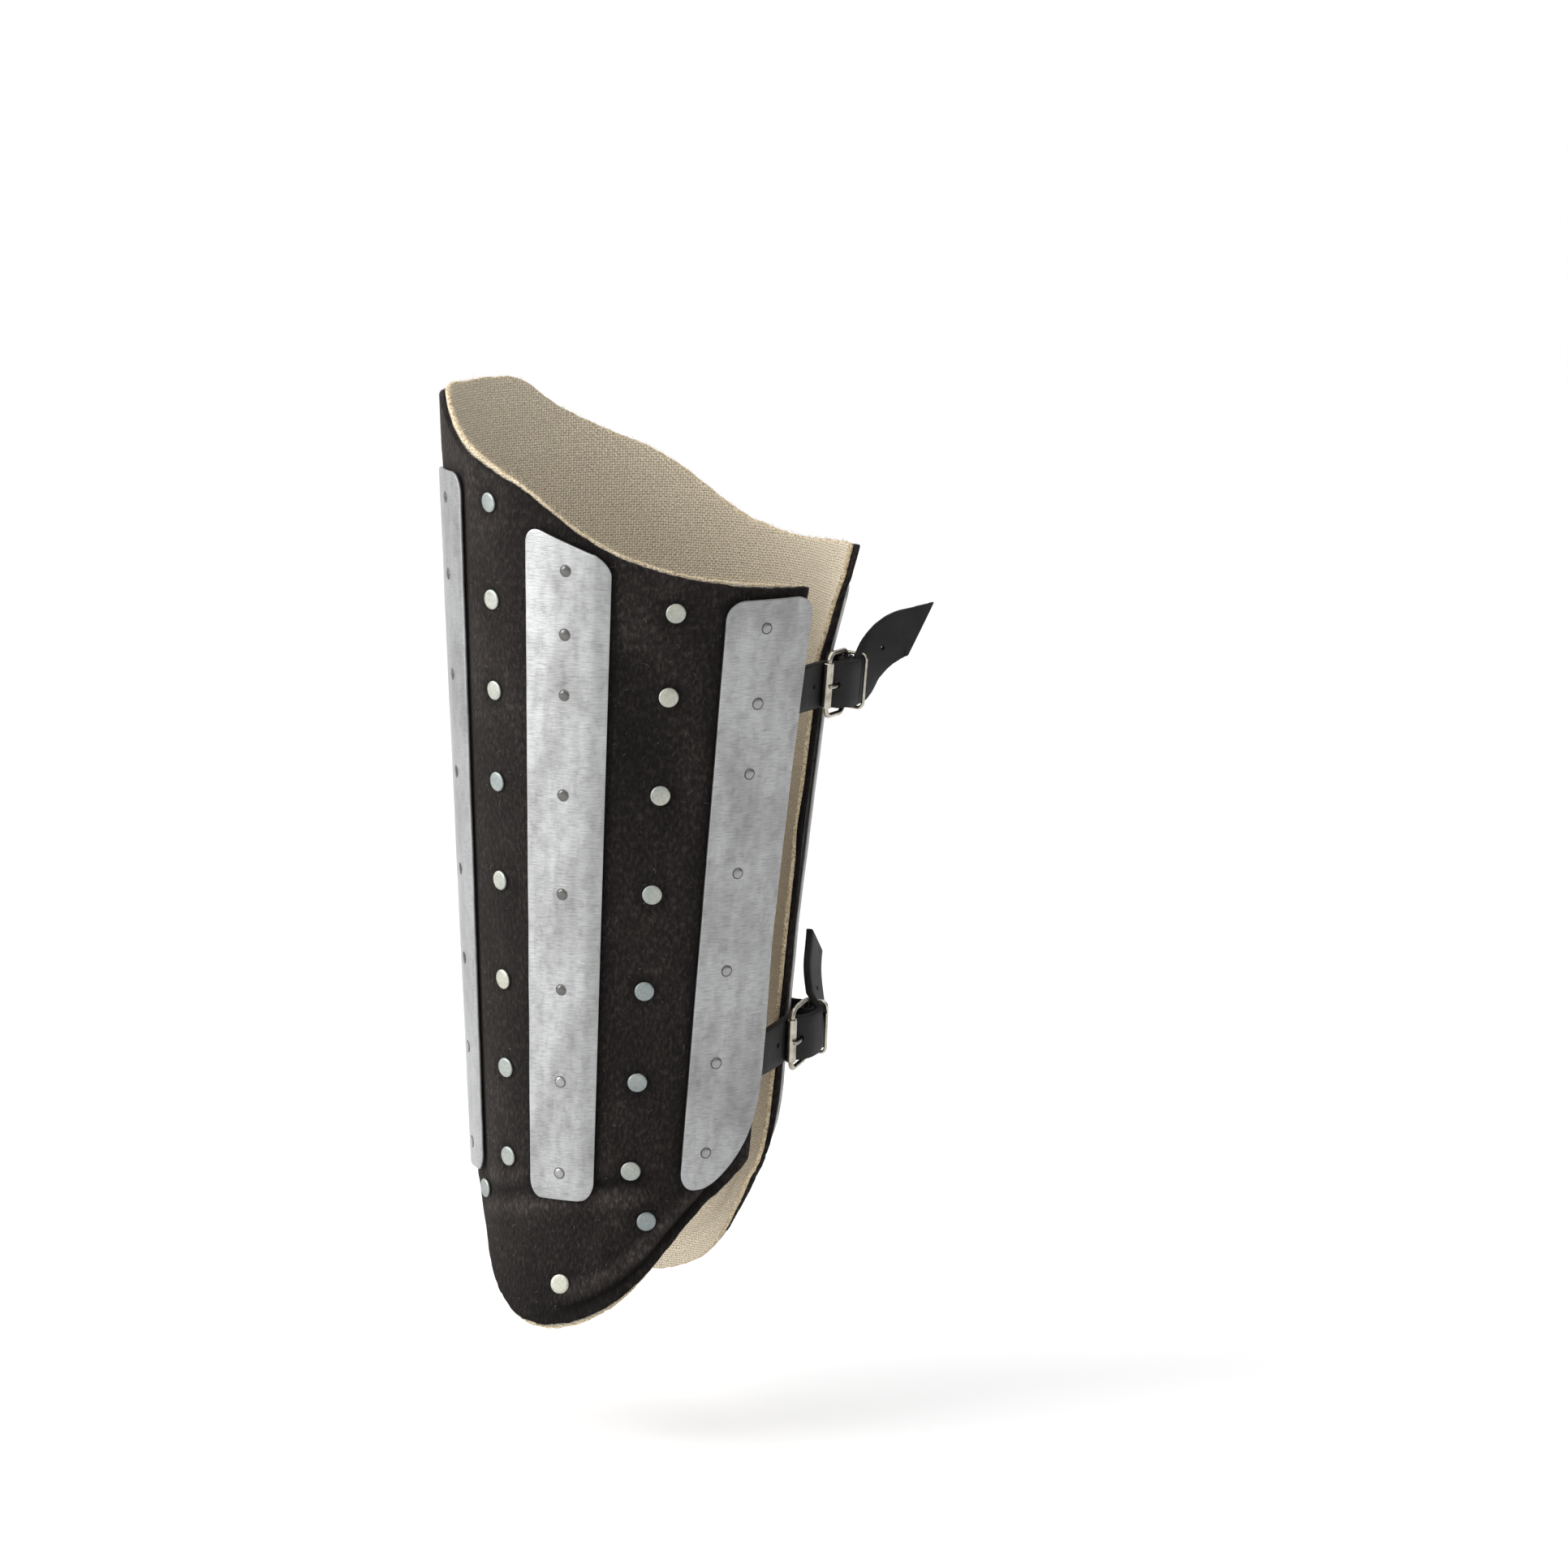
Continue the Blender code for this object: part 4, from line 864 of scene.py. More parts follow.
def make_layer(name, finishes, wall, grid, past, rag, bulge, offset, slots=(0, 0, 0)):
    """One layer of the shell and its area: a thick sheet that follows the cover's cut outline."""
    half = 0.5 * wall
    columns, rows = grid
    limit = BACK_EDGE_AZIMUTH - math.degrees(half / WAIST_RADIUS)
    around = np.linspace(-limit, limit, columns)
    foot = HEIGHT * bottom_edge(around) + half - past(around)[0]
    top = HEIGHT * top_edge(around) - half + past(around)[1]
    height = foot + (top - foot) * np.linspace(0.0, 1.0, rows)[:, None]
    azimuth = np.broadcast_to(around, height.shape).copy()
    height = ragged(azimuth, height, *rag)
    middle = shell_points(azimuth, height, offset(azimuth, height) - half)
    batch = Batch()
    coords = np.stack((np.radians(azimuth) * SURFACE_RADIUS, height), axis=-1)
    add_thick_sheet(batch, middle, grid_normals(middle, azimuth, height), half, bulge * half, coords, slots)
    return batch.build(name, finishes), sheet_area(middle)


def cover_offset(azimuth, height):
    return felt_relief(azimuth, height) + corner_curl(azimuth, height)


def make_cover():
    """The felt, with its rise and fall stored on it for painted shade in its creases and a painted
    highlight on its crests.
    """
    made, area = make_layer("cover_felt", [FELT], COVER_WALL, FELT_GRID, lambda azimuth: (0.0, 0.0),
                            (0.00035, 2.2, SEED + 3), 0.85, cover_offset)
    spots = np.zeros(2 * len(made.data.loops))
    made.data.uv_layers[0].data.foreach_get("uv", spots)
    rise = felt_relief(np.degrees(spots[0::2] / SURFACE_RADIUS), spots[1::2])
    made.data.attributes.new(RISE, "FLOAT", "CORNER").data.foreach_set("value", rise.astype(np.float32))
    return made, area


def lining_offset(azimuth, height):
    threads = 0.00012 * value_noise(azimuth / 0.55, height / 0.0012, SEED + 6)
    relief = 0.5 * felt_relief(azimuth, height) + corner_curl(azimuth, height)
    return relief + threads - COVER_WALL - CLEARANCE


def make_lining():
    return make_layer("lining_cloth", [WEAVE, CUT_WEAVE], LINING_WALL, LINING_GRID, lining_past,
                      (0.00030, 1.4, SEED + 5), 0.7, lining_offset, (0, 0, 1))


class Buckle:
    """Sizes of a buckle, and its local axes from the roller: along the strap, outward and upward."""

    def __init__(self, name, height, slope, azimuth, ride, flare, cut, tail, twist, stand):
        self.name, self.height, self.slope, self.azimuth = name, height, slope, azimuth
        self.cut, self.tail, self.twist, self.stand = cut, tail, twist, stand
        outward = toward(azimuth, 0.0)
        cone = float(section_radius(height + 0.01) - section_radius(height - 0.01)) / 0.02
        spread = math.radians(flare)
        along = math.cos(spread) * UP.cross(outward) + math.sin(spread) * outward
        upward = (UP + cone * outward).normalized()
        normal = upward.cross(along)
        if normal.dot(outward) < 0.0:
            normal = -normal
        rotate = Matrix.Rotation(math.radians(slope), 3, normal)
        if (rotate @ along).z < along.z:
            rotate = Matrix.Rotation(math.radians(-slope), 3, normal)
        self.origin = shell_point(azimuth, height, ride)
        self.along, self.outward, self.upward = rotate @ along, normal, rotate @ upward

    def at(self, along, outward, upward=0.0):
        return self.origin + along * self.along + outward * self.outward + upward * self.upward

    def route_height(self, azimuth):
        """Height at which the strap crosses an azimuth."""
        run = math.radians(azimuth - self.azimuth) * float(section_radius(self.height))
        return self.height + math.tan(math.radians(self.slope)) * run

    def prong_path(self):
        return [self.at(along * FRAME_DEPTH, outward * PRONG_REST) for along, outward in PRONG_RUN]


BUCKLES = [Buckle(*row) for row in BUCKLE_ROWS]


def splint_points(row, side, share, height, level):
    """Points at a level above a splint's underside, which rises over straps and to a crease."""
    offset = SPLINT_SEAT
    if row.kind == "back":
        offset = offset + STRAP_SEAT_LIFT * share * (side > 0)
        offset = offset - 0.00035 * smooth_step(1.0 - (row.top * HEIGHT - height) / 0.013)
    if row.kind == "side":
        crease = 1.0 - CREASE_INSET / SPLINT_WIDTH
        ridge = np.minimum((share / crease) ** 1.25, (1.0 - share) / (1.0 - crease))
        offset = offset + CREASE_RISE * np.clip(ridge, 0.0, 1.0)
    return shell_points(splint_azimuth(row, side, share, height), height, offset + level)


def dents(across, height, seed):
    """Shallow dents of a worn plate."""
    wide = value_noise(across / 0.013 + 7.0 * seed, height / 0.022, SEED + 20 + seed)
    small = value_noise(across / 0.005, height / 0.008 + seed, SEED + 40 + seed)
    return 0.00010 * wide + 0.00005 * small


def small_rivet_places(row, side):
    """Height, share across the plate and lift of each small rivet; two hold the chapes."""
    places = []
    for index, share in enumerate(row.rivets):
        height, position, lift = share * HEIGHT, 0.5, 0.0
        if row.kind == "back":
            climb = (share - row.rivets[0]) / (row.rivets[-1] - row.rivets[0])
            low, high = BACK_RIVET_AZIMUTHS
            past = low + (high - low) * climb - splint_middle(row, height)
            position = 0.5 + 0.5 * past / splint_half_width(row)
            if index in STRAP_RIVET_ROWS and side < 0:
                buckle = BUCKLES[STRAP_RIVET_ROWS[index]]
                azimuth = splint_azimuth(row, 1.0, CHAPE_RIVET_SHARE, buckle.height)
                height, position = buckle.route_height(360.0 - azimuth), CHAPE_RIVET_SHARE
                lift = CHAPE_THICKNESS + 2.0 * CLEARANCE
        places.append((height, position, lift))
    return places


def tilt(rng, amount):
    return amount * Vector((rng.uniform(-1, 1), rng.uniform(-1, 1), rng.uniform(-1, 1)))


def end_inset(distance):
    """How far a rounded corner draws the plate's side in, at a distance from its end."""
    rest = np.clip(CORNER_RADIUS - distance, 0.0, CORNER_RADIUS)
    return CORNER_RADIUS - np.sqrt(CORNER_RADIUS ** 2 - rest ** 2)


def make_splint(row, side, name, seed):
    low, high = row.foot * HEIGHT, row.top * HEIGHT
    width = SPLINT_WIDTH * row.width
    ends = CORNER_RADIUS * (1.0 - np.cos(np.linspace(0.0, 0.5 * np.pi, PLATE_END_ROWS)))
    straight = np.linspace(low + CORNER_RADIUS, high - CORNER_RADIUS, PLATE_STRAIGHT_ROWS)[1:-1]
    heights = np.concatenate([low + ends, straight, high - ends[::-1]])
    even = np.linspace(0.0, 1.0, PLATE_ACROSS)
    columns = 0.5 * (0.5 - 0.5 * np.cos(np.pi * even)) + 0.5 * even
    inset = end_inset(np.minimum(heights - low, high - heights)) / width
    taper_run = np.clip(1.0 - (heights - low) / TAPER_LENGTH, 0.0, 1.0)
    rear = 1.0 - np.maximum(inset, row.taper * (1.0 - np.sqrt(1.0 - taper_run ** 2)))
    share = inset[:, None] + (rear - inset)[:, None] * columns[None, :]
    near_top = np.clip(1.0 - (high - heights) / SLANT_LENGTH, 0.0, 1.0)[:, None]
    height = heights[:, None] - row.slant * HEIGHT * share * near_top
    level = 0.5 * SPLINT_THICKNESS + dents(share * width, height, seed)
    middle = splint_points(row, side, share, height, level)
    normals = grid_normals(middle, splint_azimuth(row, side, share, height), height)
    batch = Batch()
    coords = np.stack((share * width + 0.31 * seed, height), axis=-1)
    add_thick_sheet(batch, middle, normals, 0.5 * SPLINT_THICKNESS, PLATE_EDGE_BULGE, coords)

    rng = random.Random(SEED + seed)
    for height, position, lift in small_rivet_places(row, side):
        top = SPLINT_THICKNESS + dents(position * width, height, seed)
        seat, aside, above = (Vector(splint_points(row, side, share, level, top)) for share, level in (
            (position, height), (position + 0.02, height), (position, height + 0.001)))
        axis = (aside - seat).cross(above - seat).normalized()
        if axis.dot(shell_normal(side * splint_middle(row, height), height)) < 0.0:
            axis = -axis
        seat = seat + lift * axis
        lean = (axis + tilt(rng, 0.05)).normalized()
        radius = SMALL_RIVET_RADIUS * rng.uniform(0.95, 1.05)
        if lift:
            shank = ((0.0, SHANK_RADIUS), (lift + 0.0006, SHANK_RADIUS))
            add_turned(batch, seat - (lift + 0.0005) * axis, axis, shank, 12, 1)
        # dark ring round the head's foot
        ring = ((0.0, radius + 0.00056), (0.00048, radius + 0.00052), (0.00050, radius))
        add_turned(batch, seat - 0.0004 * axis, axis, ring, 20, 2)
        profile = [(rise, share * radius) for rise, share in SMALL_HEAD_PROFILE]
        # upper heads on the front and side splints get the painted dark reflection
        finish = 1 if row.kind == "back" or height < LIGHT_HEADS_BELOW else 3
        add_turned(batch, seat, lean, profile, 20, finish, rng.random())
    return batch.build(name, [STEEL, SMALL_HEAD, HEAD_FOOT_RING, DARK_REFLECTION_HEAD], 32.0)


def make_rivet(name, azimuth, height, index):
    rng = random.Random(SEED + 300 + index)
    lean = (shell_normal(azimuth, height) + tilt(rng, 0.035)).normalized()
    radius = HEAD_RADIUS * rng.uniform(0.975, 1.02)
    rise = HEAD_HEIGHT + 0.0004
    profile = [(-0.0008, 0.0012), (0.0, 0.0012), (0.0001, 0.97 * radius), (0.00035, radius)]
    profile += [(level * rise, share * radius) for level, share in HEAD_PROFILE]
    batch = Batch()
    add_turned(batch, shell_point(azimuth, height, -0.0003), lean, profile, 32, 0, rng.random())
    return batch.build(name, [RIVET], 50.0)


def leaning(path, upward, seated, freed):
    """Upward directions along a path: the shell's own until seated, the buckle's once freed."""
    directions = []
    for point, length in zip(path, path_lengths(path)):
        centre = BACKWARD_LEAN * (point.z / HEIGHT - 0.5)
        azimuth = math.degrees(math.atan2(point.x, centre - point.y))
        rise = shell_point(azimuth, point.z + 0.004) - shell_point(azimuth, point.z - 0.004)
        weight = float(smooth_step((length - seated) / (freed - seated)))
        directions.append(rise.normalized().lerp(upward, weight))
    return directions


def strap_route(buckle):
    """A strap's path, upward directions and thicknesses, and where it crosses over the prong."""
    route, thicknesses = [], []
    for share in (0.20, 0.45, 0.70, 0.99):
        azimuth = splint_azimuth(BACK_SPLINT, 1.0, share, buckle.height)
        lift = CLEARANCE + STRAP_EDGE_LIFT * share
        thickness = SPLINT_SEAT + STRAP_SEAT_LIFT * share - CLEARANCE - lift
        route.append(shell_point(azimuth, buckle.route_height(azimuth), lift + 0.5 * thickness))
        thicknesses.append(thickness)
    under = [buckle.at(along * ROLLER_TURN, -outward * ROLLER_TURN)
             for along, outward in ((-1.6, 1.02), (-0.5, 1.0))]
    bend = [buckle.at(ROLLER_TURN * math.sin(angle), -ROLLER_TURN * math.cos(angle))
            for angle in map(math.radians, (0.0, 25.0, 50.0, 74.0))]
    over = [buckle.at(along * FRAME_DEPTH, outward * STRAP_OVER) for along, outward in STRAP_OVER_BAR]
    held = [buckle.at(KEEPER_PLACE, STRAP_LEVEL), buckle.at(KEEPER_PLACE + KEEPER_LEAD, STRAP_LEVEL)]
    tail = [buckle.at(KEEPER_PLACE + TAIL_LENGTH * along, STRAP_LEVEL + TAIL_LENGTH * outward,
                      TAIL_LENGTH * upward) for along, outward, upward in buckle.tail]
    shell_part = catmull_rom(route, 0.0012)
    path = shell_part + catmull_rom([route[-1]] + under + bend + over + held + tail, 0.0009)[1:]
    edge = path_lengths(shell_part)[-1]
    table = np.interp(path_lengths(path), (0.0, edge, edge + 0.006),
                      (thicknesses[0], thicknesses[-1], STRAP_THICKNESS)).tolist()
    upwards = leaning(path, buckle.upward, edge, edge + (under[0] - route[-1]).length)
    start = min(range(len(path)), key=lambda i: (path[i] - held[-1]).length)
    turning = int(TWIST_SHARE * (len(path) - start))
    for i in range(start + 1, len(path)):
        tangent = (path[i] - path[i - 1]).normalized()
        turn_here = math.radians(buckle.twist) / turning if i - start <= turning else 0.0
        carried = upwards[i - 1].lerp(buckle.upward, buckle.stand)
        level = (carried - carried.dot(tangent) * tangent).normalized()
        upwards[i] = Matrix.Rotation(turn_here, 3, tangent) @ level
    return path, upwards, table, over[0]


def strap_section(width, thickness, rng):
    """Flat section with rolled edges; its cut sides are a little rough."""
    half_w, half_t = 0.5 * width, 0.5 * thickness
    roll = 0.55 * half_t
    points = []
    for sw, st, start in QUARTERS:
        for degrees in (10, 45, 80):
            angle = math.radians(start + degrees)
            rough = 0.00009 * rng.uniform(-1.0, 1.0)
            points.append((sw * (half_w - roll) + (roll + rough) * math.cos(angle),
                           st * (half_t - roll) + roll * math.sin(angle)))
        if sw == st:
            points += [(st * a * half_w, st * half_t * 1.02) for a in (0.55, 0.0, -0.55)]
    return points


def cut_holes(made, cutters):
    """Cuts the gathered pins and boxes out of an object, once and for all."""
    cutter = cutters.build(made.name + "_cutter", [LEATHER_EDGE], mend=True)
    boolean = made.modifiers.new("holes", "BOOLEAN")
    boolean.operation = "DIFFERENCE"
    boolean.solver = "EXACT"
    boolean.object = cutter
    bpy.context.view_layer.update()
    cut = bpy.data.meshes.new_from_object(made.evaluated_get(bpy.context.evaluated_depsgraph_get()))
    made.modifiers.clear()
    made.data = cut
    bpy.data.objects.remove(cutter)
    cut.shade_smooth()
    cut.set_sharp_from_angle(angle=math.radians(40.0))
    return made


def swept(name, finishes, crease, path, uprights, sections, *rest, **options):
    batch = Batch()
    sweep(batch, path, uprights, sections, *rest, **options)
    return batch.build(name, finishes, crease, mend=True)


def make_strap(buckle, seed):
    path, upwards, thicknesses, crossing = strap_route(buckle)
    rng = random.Random(SEED + seed)
    sections = [strap_section(STRAP_WIDTH, thickness, rng) for thickness in thicknesses]
    made = swept("strap_leather_" + buckle.name, [LEATHER, LEATHER_EDGE, FLESH_SIDE], 40.0,
                 path, upwards, sections, STRAP_SLOTS, skew=2.0 * buckle.cut)
    cutters = Batch()
    lengths = path_lengths(path)
    nearest = min(range(len(path)), key=lambda i: (path[i] - crossing).length)
    for step in (-1, 2):
        target = lengths[nearest] + step * HOLE_PITCH
        i = min(range(1, len(path) - 1), key=lambda k: abs(lengths[k] - target))
        tangent = (path[i + 1] - path[i - 1]).normalized()
        out = tangent.cross((upwards[i] - upwards[i].dot(tangent) * tangent).normalized())
        pin = ((-STRAP_THICKNESS, HOLE_RADIUS), (STRAP_THICKNESS, HOLE_RADIUS))
        add_turned(cutters, path[i], out, pin, 20)
    low, high = (buckle.prong_path()[k] for k in PRONG_PIERCE)
    reach = 0.45 * (high - low)
    span = (high + reach) - (low - reach)
    pin = ((0.0, 1.8 * PRONG_RADIUS), (span.length, 1.8 * PRONG_RADIUS))
    add_turned(cutters, low - reach, span, pin, 20)
    return cut_holes(made, cutters)


def bezier(a, b, c, d, share):
    rest = 1.0 - share
    return rest ** 3 * a + 3.0 * rest * rest * share * b + 3.0 * rest * share * share * c + share ** 3 * d


def make_chape(buckle, seed):
    """Leather from the inner back splint, round the fixed bar and back on itself."""
    level = SPLINT_SEAT + SPLINT_THICKNESS + CLEARANCE + 0.5 * CHAPE_THICKNESS
    layer = 0.5 * (CHAPE_THICKNESS + CLEARANCE)
    root, landing = (360.0 - splint_azimuth(BACK_SPLINT, 1.0, share, buckle.height)
                     for share in (CHAPE_ROOT_SHARE, CHAPE_RIVET_SHARE))
    landing -= math.degrees(CHAPE_PAST_RIVET / float(section_radius(buckle.height)))
    seat = [root + (landing - root) * k / 3 for k in range(4)]
    route = [shell_point(azimuth - 360.0, buckle.route_height(azimuth), level) for azimuth in seat]
    straight = (KEEPER_PLACE + KEEPER_LEAD, KEEPER_PLACE)
    lifted = buckle.at(straight[0], -layer)
    start = route[3]
    reach = (lifted - start).length
    leaving = start + CHAPE_BENDS[0] * reach * (start - route[2]).normalized()
    arriving = lifted + CHAPE_BENDS[1] * reach * buckle.along
    route += [bezier(start, leaving, arriving, lifted, share) for share in (0.25, 0.5, 0.75)]
    route += [buckle.at(along, -layer) for along in straight]
    route += [buckle.at(FRAME_DEPTH + CHAPE_TURN * math.sin(angle), CHAPE_TURN * math.cos(angle))
              for angle in map(math.radians, (158.0, 195.0, 232.0, 270.0, 308.0, 345.0, 382.0))]
    route += [buckle.at(along, layer) for along in reversed(straight)]
    path = catmull_rom(route, 0.0008)
    seated = (start - route[0]).length
    upwards = leaning(path, buckle.upward, seated, seated + reach)
    rng = random.Random(SEED + seed)
    sections = [strap_section(CHAPE_WIDTH, CHAPE_THICKNESS, rng) for _ in path]
    made = swept("chape_leather_" + buckle.name, [LEATHER, LEATHER_EDGE], 40.0,
                 path, upwards, sections, CHAPE_SLOTS)

    slot = PRONG_RADIUS + CLEARANCE
    slot_reach = PRONG_RING + slot
    centre = FRAME_DEPTH + 0.5 * (slot_reach - 2.0 * CHAPE_TURN)
    half = 0.5 * (slot_reach + 2.0 * CHAPE_TURN)
    corners = [buckle.at(centre, 0.0) + a * half * buckle.along + b * 2.0 * CHAPE_TURN * buckle.outward
               + c * slot * buckle.upward for a in (-1, 1) for b in (-1, 1) for c in (-1, 1)]
    cutters = Batch()
    cutters.add([tuple(v) for v in corners], ((0, 1, 3, 2), (4, 6, 7, 5), (0, 4, 5, 1), (2, 3, 7, 6),
                                              (0, 2, 6, 4), (1, 5, 7, 3)))
    return cut_holes(made, cutters)


def rounded_loop(half_length, half_height, corner, steps=9):
    points = []
    for sign_a, sign_b, start in QUARTERS:
        for k in range(steps):
            angle = math.radians(start + 90.0 * k / (steps - 1))
            points.append((sign_a * (half_length - corner) + corner * math.cos(angle),
                           sign_b * (half_height - corner) + corner * math.sin(angle)))
    return points


def make_buckle(buckle):
    """Each piece of a buckle, with the start of its solid's name."""
    half_height = 0.5 * STRAP_WIDTH + ROLLER_END_PLAY + FRAME_WIRE_RADIUS + 0.5 * FRAME_CORNER
    path = [buckle.at(0.5 * FRAME_DEPTH + along, 0.0, upward)
            for along, upward in rounded_loop(0.5 * FRAME_DEPTH, half_height, FRAME_CORNER)]
    wire = swept("buckle_wire_" + buckle.name, [NICKEL], None, path, None,
                 [round_section(FRAME_WIRE_RADIUS, 16)], closed=True)

    half, bore, sides = 0.5 * STRAP_WIDTH - ROLLER_END_PLAY, FRAME_WIRE_RADIUS + CLEARANCE, 40
    outline = ((bore, -half), (ROLLER_RADIUS - 0.00025, -half), (ROLLER_RADIUS, -half + 0.0003),
               (ROLLER_RADIUS, half - 0.0003), (ROLLER_RADIUS - 0.00025, half), (bore, half))
    verts = []
    for radius, level in outline:
        for k in range(sides):
            turn = 2.0 * math.pi * k / sides
            reach = radius - (0.00016 if k == 13 and radius > bore else 0.0)
            spoke = math.cos(turn) * buckle.along + math.sin(turn) * buckle.outward
            verts.append(tuple(buckle.origin + level * buckle.upward + reach * spoke))
    batch = Batch()
    batch.add(verts, tube_faces(len(outline), sides, closed=True))
    roller = batch.build("buckle_tube_" + buckle.name, [NICKEL], 30.0, mend=True)

    points = [buckle.at(FRAME_DEPTH + PRONG_RING * math.sin(angle), PRONG_RING * math.cos(angle))
              for angle in map(math.radians, range(265, 5, -20))]
    path = catmull_rom(points + buckle.prong_path(), PRONG_SPACING)
    sections = []
    for k in reversed(range(len(path))):
        share = min(1.0, 0.55 + 0.45 * (k * PRONG_SPACING / PRONG_POINT) ** 0.5)
        sections.append(round_section(PRONG_RADIUS * share, 14))
    prong = swept("buckle_pin_" + buckle.name, [NICKEL], 50.0, path, [buckle.upward] * len(path), sections)

    strap_top = STRAP_LEVEL + 0.5 * STRAP_THICKNESS
    middle = 0.5 * (strap_top + KEEPER_UNDERSIDE)
    half_depth = 0.5 * (strap_top - KEEPER_UNDERSIDE) + 2.0 * CLEARANCE + KEEPER_WIRE_RADIUS
    half_reach = 0.5 * STRAP_WIDTH + 3.0 * CLEARANCE + KEEPER_WIRE_RADIUS
    path = [buckle.at(KEEPER_PLACE, middle + outward, upward)
            for outward, upward in rounded_loop(half_depth, half_reach, 3.2 * KEEPER_WIRE_RADIUS)]
    keeper = swept("keeper_wire_" + buckle.name, [NICKEL], None, path, None,
                   [round_section(KEEPER_WIRE_RADIUS, 14)], closed=True)
    return ((wire, "buckle_frame_"), (roller, "buckle_roller_"), (prong, "buckle_prong_"),
            (keeper, "keeper_"))


def add_fibre(batch, start, direction, bend, length, radius, steps):
    shares = [k / steps for k in range(steps + 1)]
    path = [start + length * t * direction + length * t * t * bend for t in shares]
    sweep(batch, path, None, [round_section(radius * (1.0 - 0.75 * t), 3) for t in shares])


def random_vector(rng):
    return Vector((rng.gauss(0, 1), rng.gauss(0, 1), rng.gauss(0, 1))).normalized()


def cut_heights(azimuth):
    """Heights of the cover's foot and top."""
    return HEIGHT * float(bottom_edge(azimuth)), HEIGHT * float(top_edge(azimuth))


def felt_rise(azimuth, height):
    return float(felt_relief(np.array([azimuth]), np.array([height]))[0])


def make_lining_threads():
    """Frayed thread ends along the lining's cut edges."""
    rng = random.Random(SEED + 11)
    batch = Batch()
    for _ in range(FRAY_COUNT):
        top = rng.random() < 0.72
        azimuth = rng.choice((-1, 1)) * rng.uniform(0.0, 166.0)
        past = float(lining_past(azimuth)[top]) - 0.0003
        height = cut_heights(azimuth)[top] + past * (1 if top else -1)
        start = shell_point(azimuth, height, -COVER_WALL - CLEARANCE - rng.uniform(0.0001, LINING_WALL))
        lean = 0.9 * random_vector(rng)
        add_fibre(batch, start, ((UP if top else -UP) + lean).normalized(), 0.7 * random_vector(rng),
                  rng.uniform(0.0006, 0.0019) * (1.8 if rng.random() < 0.06 else 1.0),
                  rng.uniform(0.00004, 0.00008), 3)
    return batch.build("lining_fray", [CREAM_FIBRE], mend=True)


def make_lint():
    """Pale specks and short curled hairs caught in the felt."""
    rng = random.Random(SEED + 12)
    batch = Batch()
    made = 0
    while made < LINT_COUNT:
        azimuth = rng.uniform(-166.0, 166.0)
        low, high = cut_heights(azimuth)
        height = rng.uniform(low + 0.003, high - 0.003)
        if under_splint(azimuth, height, 1.0):
            continue
        normal = shell_normal(azimuth, height)
        start = shell_point(azimuth, height, felt_rise(azimuth, height) + 0.0002)
        flat = random_vector(rng)
        flat = (flat - flat.dot(normal) * normal).normalized()
        curl = 0.9 * flat.cross(normal) * rng.uniform(-1.0, 1.0)
        speck = rng.random() < 0.55
        length = rng.uniform(0.0003, 0.0008) if speck else rng.uniform(0.0012, 0.0036)
        radius = rng.uniform(0.00006, 0.00013) if speck else rng.uniform(0.00003, 0.00006)
        add_fibre(batch, start, (flat + 0.12 * normal).normalized(), curl, length, radius,
                  1 if speck else 4)
        made += 1
    return batch.build("felt_lint", [LINT], mend=True)


def make_nap():
    """Short dark hairs that stand off the felt's foot, top and back edges by turns, then off its face."""
    rng = random.Random(SEED + 13)
    batch = Batch()
    azimuths = np.array([rng.uniform(-167.6, 167.6) for _ in range(HAIR_COUNT)])
    picks = np.array([rng.random() for _ in range(HAIR_COUNT)])
    lows, highs = HEIGHT * bottom_edge(azimuths), HEIGHT * top_edge(azimuths)
    heights = lows + 0.001 + (highs - lows - 0.002) * picks
    heights[0:EDGE_HAIR_COUNT:3] = lows[0:EDGE_HAIR_COUNT:3] + 0.0004
    heights[1:EDGE_HAIR_COUNT:3] = highs[1:EDGE_HAIR_COUNT:3] - 0.0004
    for k in range(2, EDGE_HAIR_COUNT, 3):
        azimuths[k] = math.copysign(167.7, azimuths[k])
        low, high = cut_heights(azimuths[k])
        heights[k] = low + (high - low) * picks[k]
    relief = cover_offset(azimuths, heights)
    for k in range(HAIR_COUNT):
        azimuth, height = float(azimuths[k]), float(heights[k])
        if under_splint(azimuth, height, 0.6):
            continue
        normal = shell_normal(azimuth, height)
        depth = -rng.uniform(0.0, 0.8 * COVER_WALL) if k < EDGE_HAIR_COUNT else -0.00005
        start = shell_point(azimuth, height, float(relief[k]) + depth)
        if k < EDGE_HAIR_COUNT:
            further = azimuth + math.copysign(1.0, azimuth)
            rearward = shell_point(further, height) - shell_point(azimuth, height)
            outward = (-UP, UP, rearward)[k % 3].normalized()
            direction = outward + 0.4 * normal + 0.7 * random_vector(rng)
        else:
            direction = 0.45 * normal + 0.8 * random_vector(rng) - 0.35 * UP
            direction -= min(0.0, direction.dot(normal)) * 1.3 * normal
        add_fibre(batch, start, direction.normalized(), 0.4 * random_vector(rng),
                  rng.uniform(0.0004, 0.0012), rng.uniform(0.00002, 0.00004), 2)
    return batch.build("felt_hairs", [NAP], mend=True)


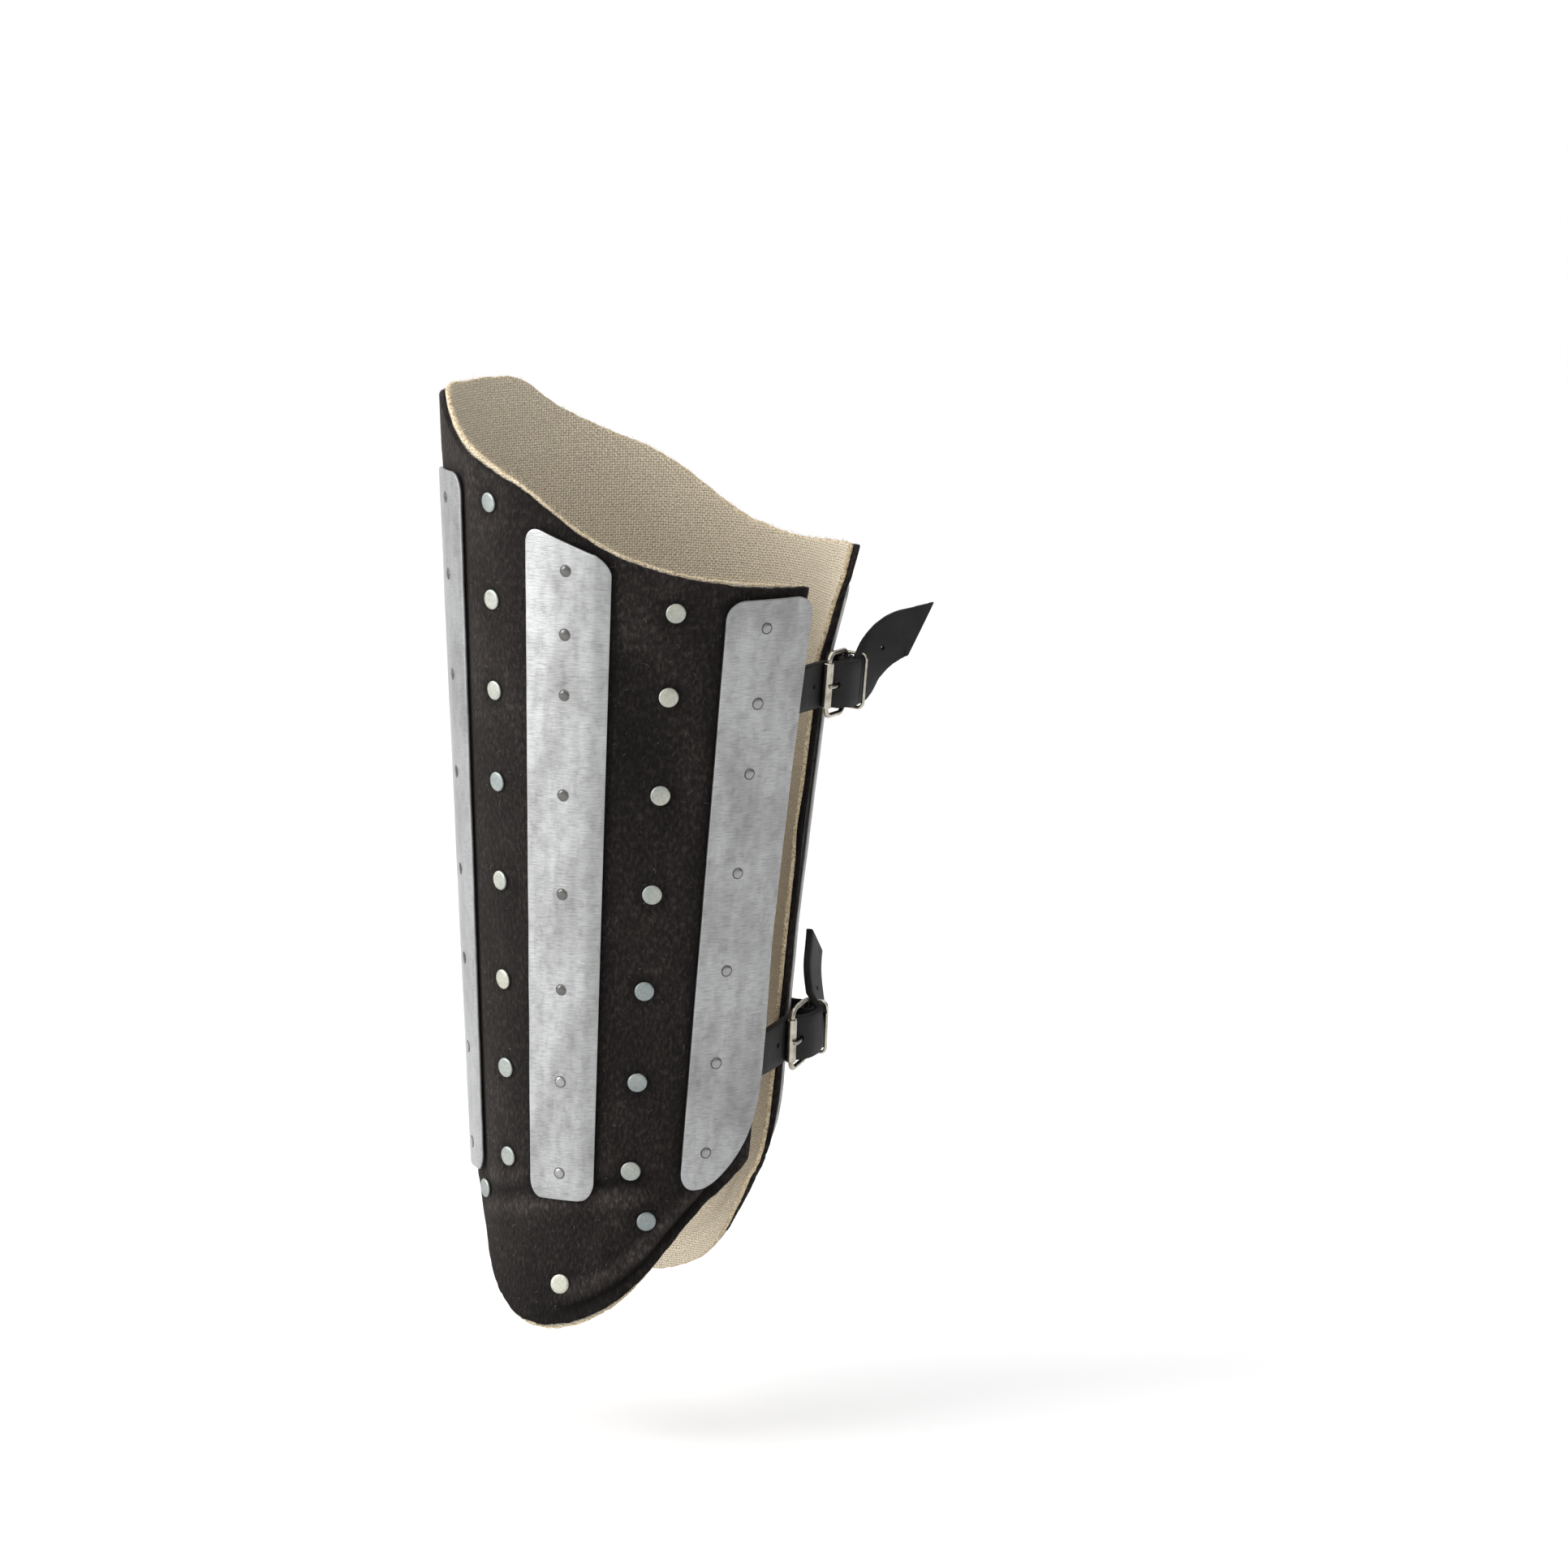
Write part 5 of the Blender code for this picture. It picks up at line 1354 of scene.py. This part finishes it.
def make_stitches():
    """Sunk seam beside each back edge, thread showing in short runs."""
    rng = random.Random(SEED + 14)
    batch = Batch()
    for sign in (1.0, -1.0):
        height = SEAM_SHARES[0] * HEIGHT
        while height < SEAM_SHARES[1] * HEIGHT:
            azimuth = sign * (BACK_EDGE_AZIMUTH - math.degrees(SEAM_INSET / float(section_radius(height))))
            points = []
            for share in (0.0, 0.2, 0.5, 0.8, 1.0):
                z = height + STITCH_LENGTH * share
                rise = felt_rise(azimuth, z) + 0.00022 * math.sin(math.pi * share) - 0.00008
                points.append(shell_point(azimuth + 0.25 * rng.uniform(-1, 1), z, rise))
            sweep(batch, catmull_rom(points, 0.0004), None, [round_section(STITCH_RADIUS, 8)])
            height += STITCH_PITCH
    return batch.build("seam_stitches", [THREAD], 60.0, mend=True)


def set_up(data, name, direction, distance, looking):
    """Puts a light or camera at a distance from the aim point, looking along a direction."""
    made = bpy.data.objects.new(name, data)
    made.location = AIM_HEIGHT * UP + distance * direction
    made.rotation_mode = "QUATERNION"
    made.rotation_quaternion = looking.to_track_quat("-Z", "Y")
    bpy.context.scene.collection.objects.link(made)
    return made


def make_stage():
    """Pale floor, a surround that is brighter on one side and overhead, and one soft box."""
    bpy.context.scene.view_settings.view_transform = "Standard"
    bpy.ops.mesh.primitive_plane_add(size=FLOOR_SIZE, location=(0.0, 0.0, FLOOR_HEIGHT))
    floor = bpy.context.object
    floor.name = "floor"
    floor.data.materials.append(mottled_material("floor_pale", 0.7, (0.30, 0.80), (0.70, 0.83),
                                                 Specular_IOR_Level=0.1))

    world = Nodes(bpy.data.worlds.new("studio"))
    bpy.context.scene.world = world.owner
    ray = world.add("ShaderNodeTexCoord").outputs["Generated"]
    sides = {0: ray, 1: toward(*BRIGHT_SIDE)}
    facing = world.add("ShaderNodeVectorMath", sides, operation="DOT_PRODUCT")
    height = world.add("ShaderNodeSeparateXYZ", {0: ray}).outputs["Z"]
    strength = world.maths("ADD", world.map_range(facing.outputs["Value"], *SURROUND),
                           world.map_range(height, *OVERHEAD))
    world.join(world.tree.nodes["Background"], {"Strength": strength, "Color": (1.0, 1.0, 1.0)})

    lamp = bpy.data.lights.new("key_box", "AREA")
    lamp.shape = "RECTANGLE"
    lamp.size, lamp.size_y = KEY_SIZE
    lamp.energy = KEY_POWER
    direction = toward(*KEY_DIRECTION)
    set_up(lamp, "key_box", direction, KEY_DISTANCE, -direction)


def make_camera():
    data = bpy.data.cameras.new("photo_camera")
    data.sensor_width = SENSOR_WIDTH
    data.lens = FOCAL_PIXELS / PHOTO_SIZE * SENSOR_WIDTH
    data.clip_start = 0.05
    data.clip_end = 300.0
    yaw = math.atan((0.5 * PHOTO_SIZE - AIM_PIXEL[0]) / FOCAL_PIXELS)
    pitch = math.radians(CAMERA_ELEVATION) - math.atan((AIM_PIXEL[1] - 0.5 * PHOTO_SIZE) / FOCAL_PIXELS)
    level = -toward(CAMERA_AZIMUTH, 0.0)
    heading = math.cos(yaw) * level + math.sin(yaw) * level.cross(UP)
    looking = math.cos(pitch) * heading - math.sin(pitch) * UP
    bpy.context.scene.camera = set_up(data, "photo_camera", toward(CAMERA_AZIMUTH, CAMERA_ELEVATION),
                                      CAMERA_DISTANCE, looking)


def place(piece, slot_name, *nodes):
    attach(piece, "root")
    if nodes:
        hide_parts(*nodes)


def main():
    make_camera()
    make_stage()

    cover, cover_area = make_cover()
    place(cover, "felt", "cover")
    lining, lining_area = make_lining()
    place(lining, "lining_weave", "lining")
    fray = make_lining_threads()
    place(fray, "lining_weave")
    loose = [make_lint(), make_nap(), make_stitches()]
    for piece in loose:
        place(piece, "felt")

    seed = 1
    for row in SPLINTS:
        for side, side_name in ((1.0, "outer"), (-1.0, "inner")):
            name = f"{side_name}_{row.kind}"
            place(make_splint(row, side, "plate_" + name, seed), "splint_steel", "splint_" + name)
            seed += 1
    for index, (name, azimuth, height) in enumerate(field_rivets()):
        title = "head_" + name[6:] if name else f"head_between_{index}"
        place(make_rivet(title, azimuth, height, index), "rivet_steel", *([name] if name else []))
    for buckle in BUCKLES:
        place(make_strap(buckle, seed), "leather", "strap_" + buckle.name)
        place(make_chape(buckle, seed + 1), "leather", "chape_" + buckle.name)
        for piece, prefix in make_buckle(buckle):
            place(piece, "buckle_nickel", prefix + buckle.name)
        seed += 2


main()
bpy.context.view_layer.update()
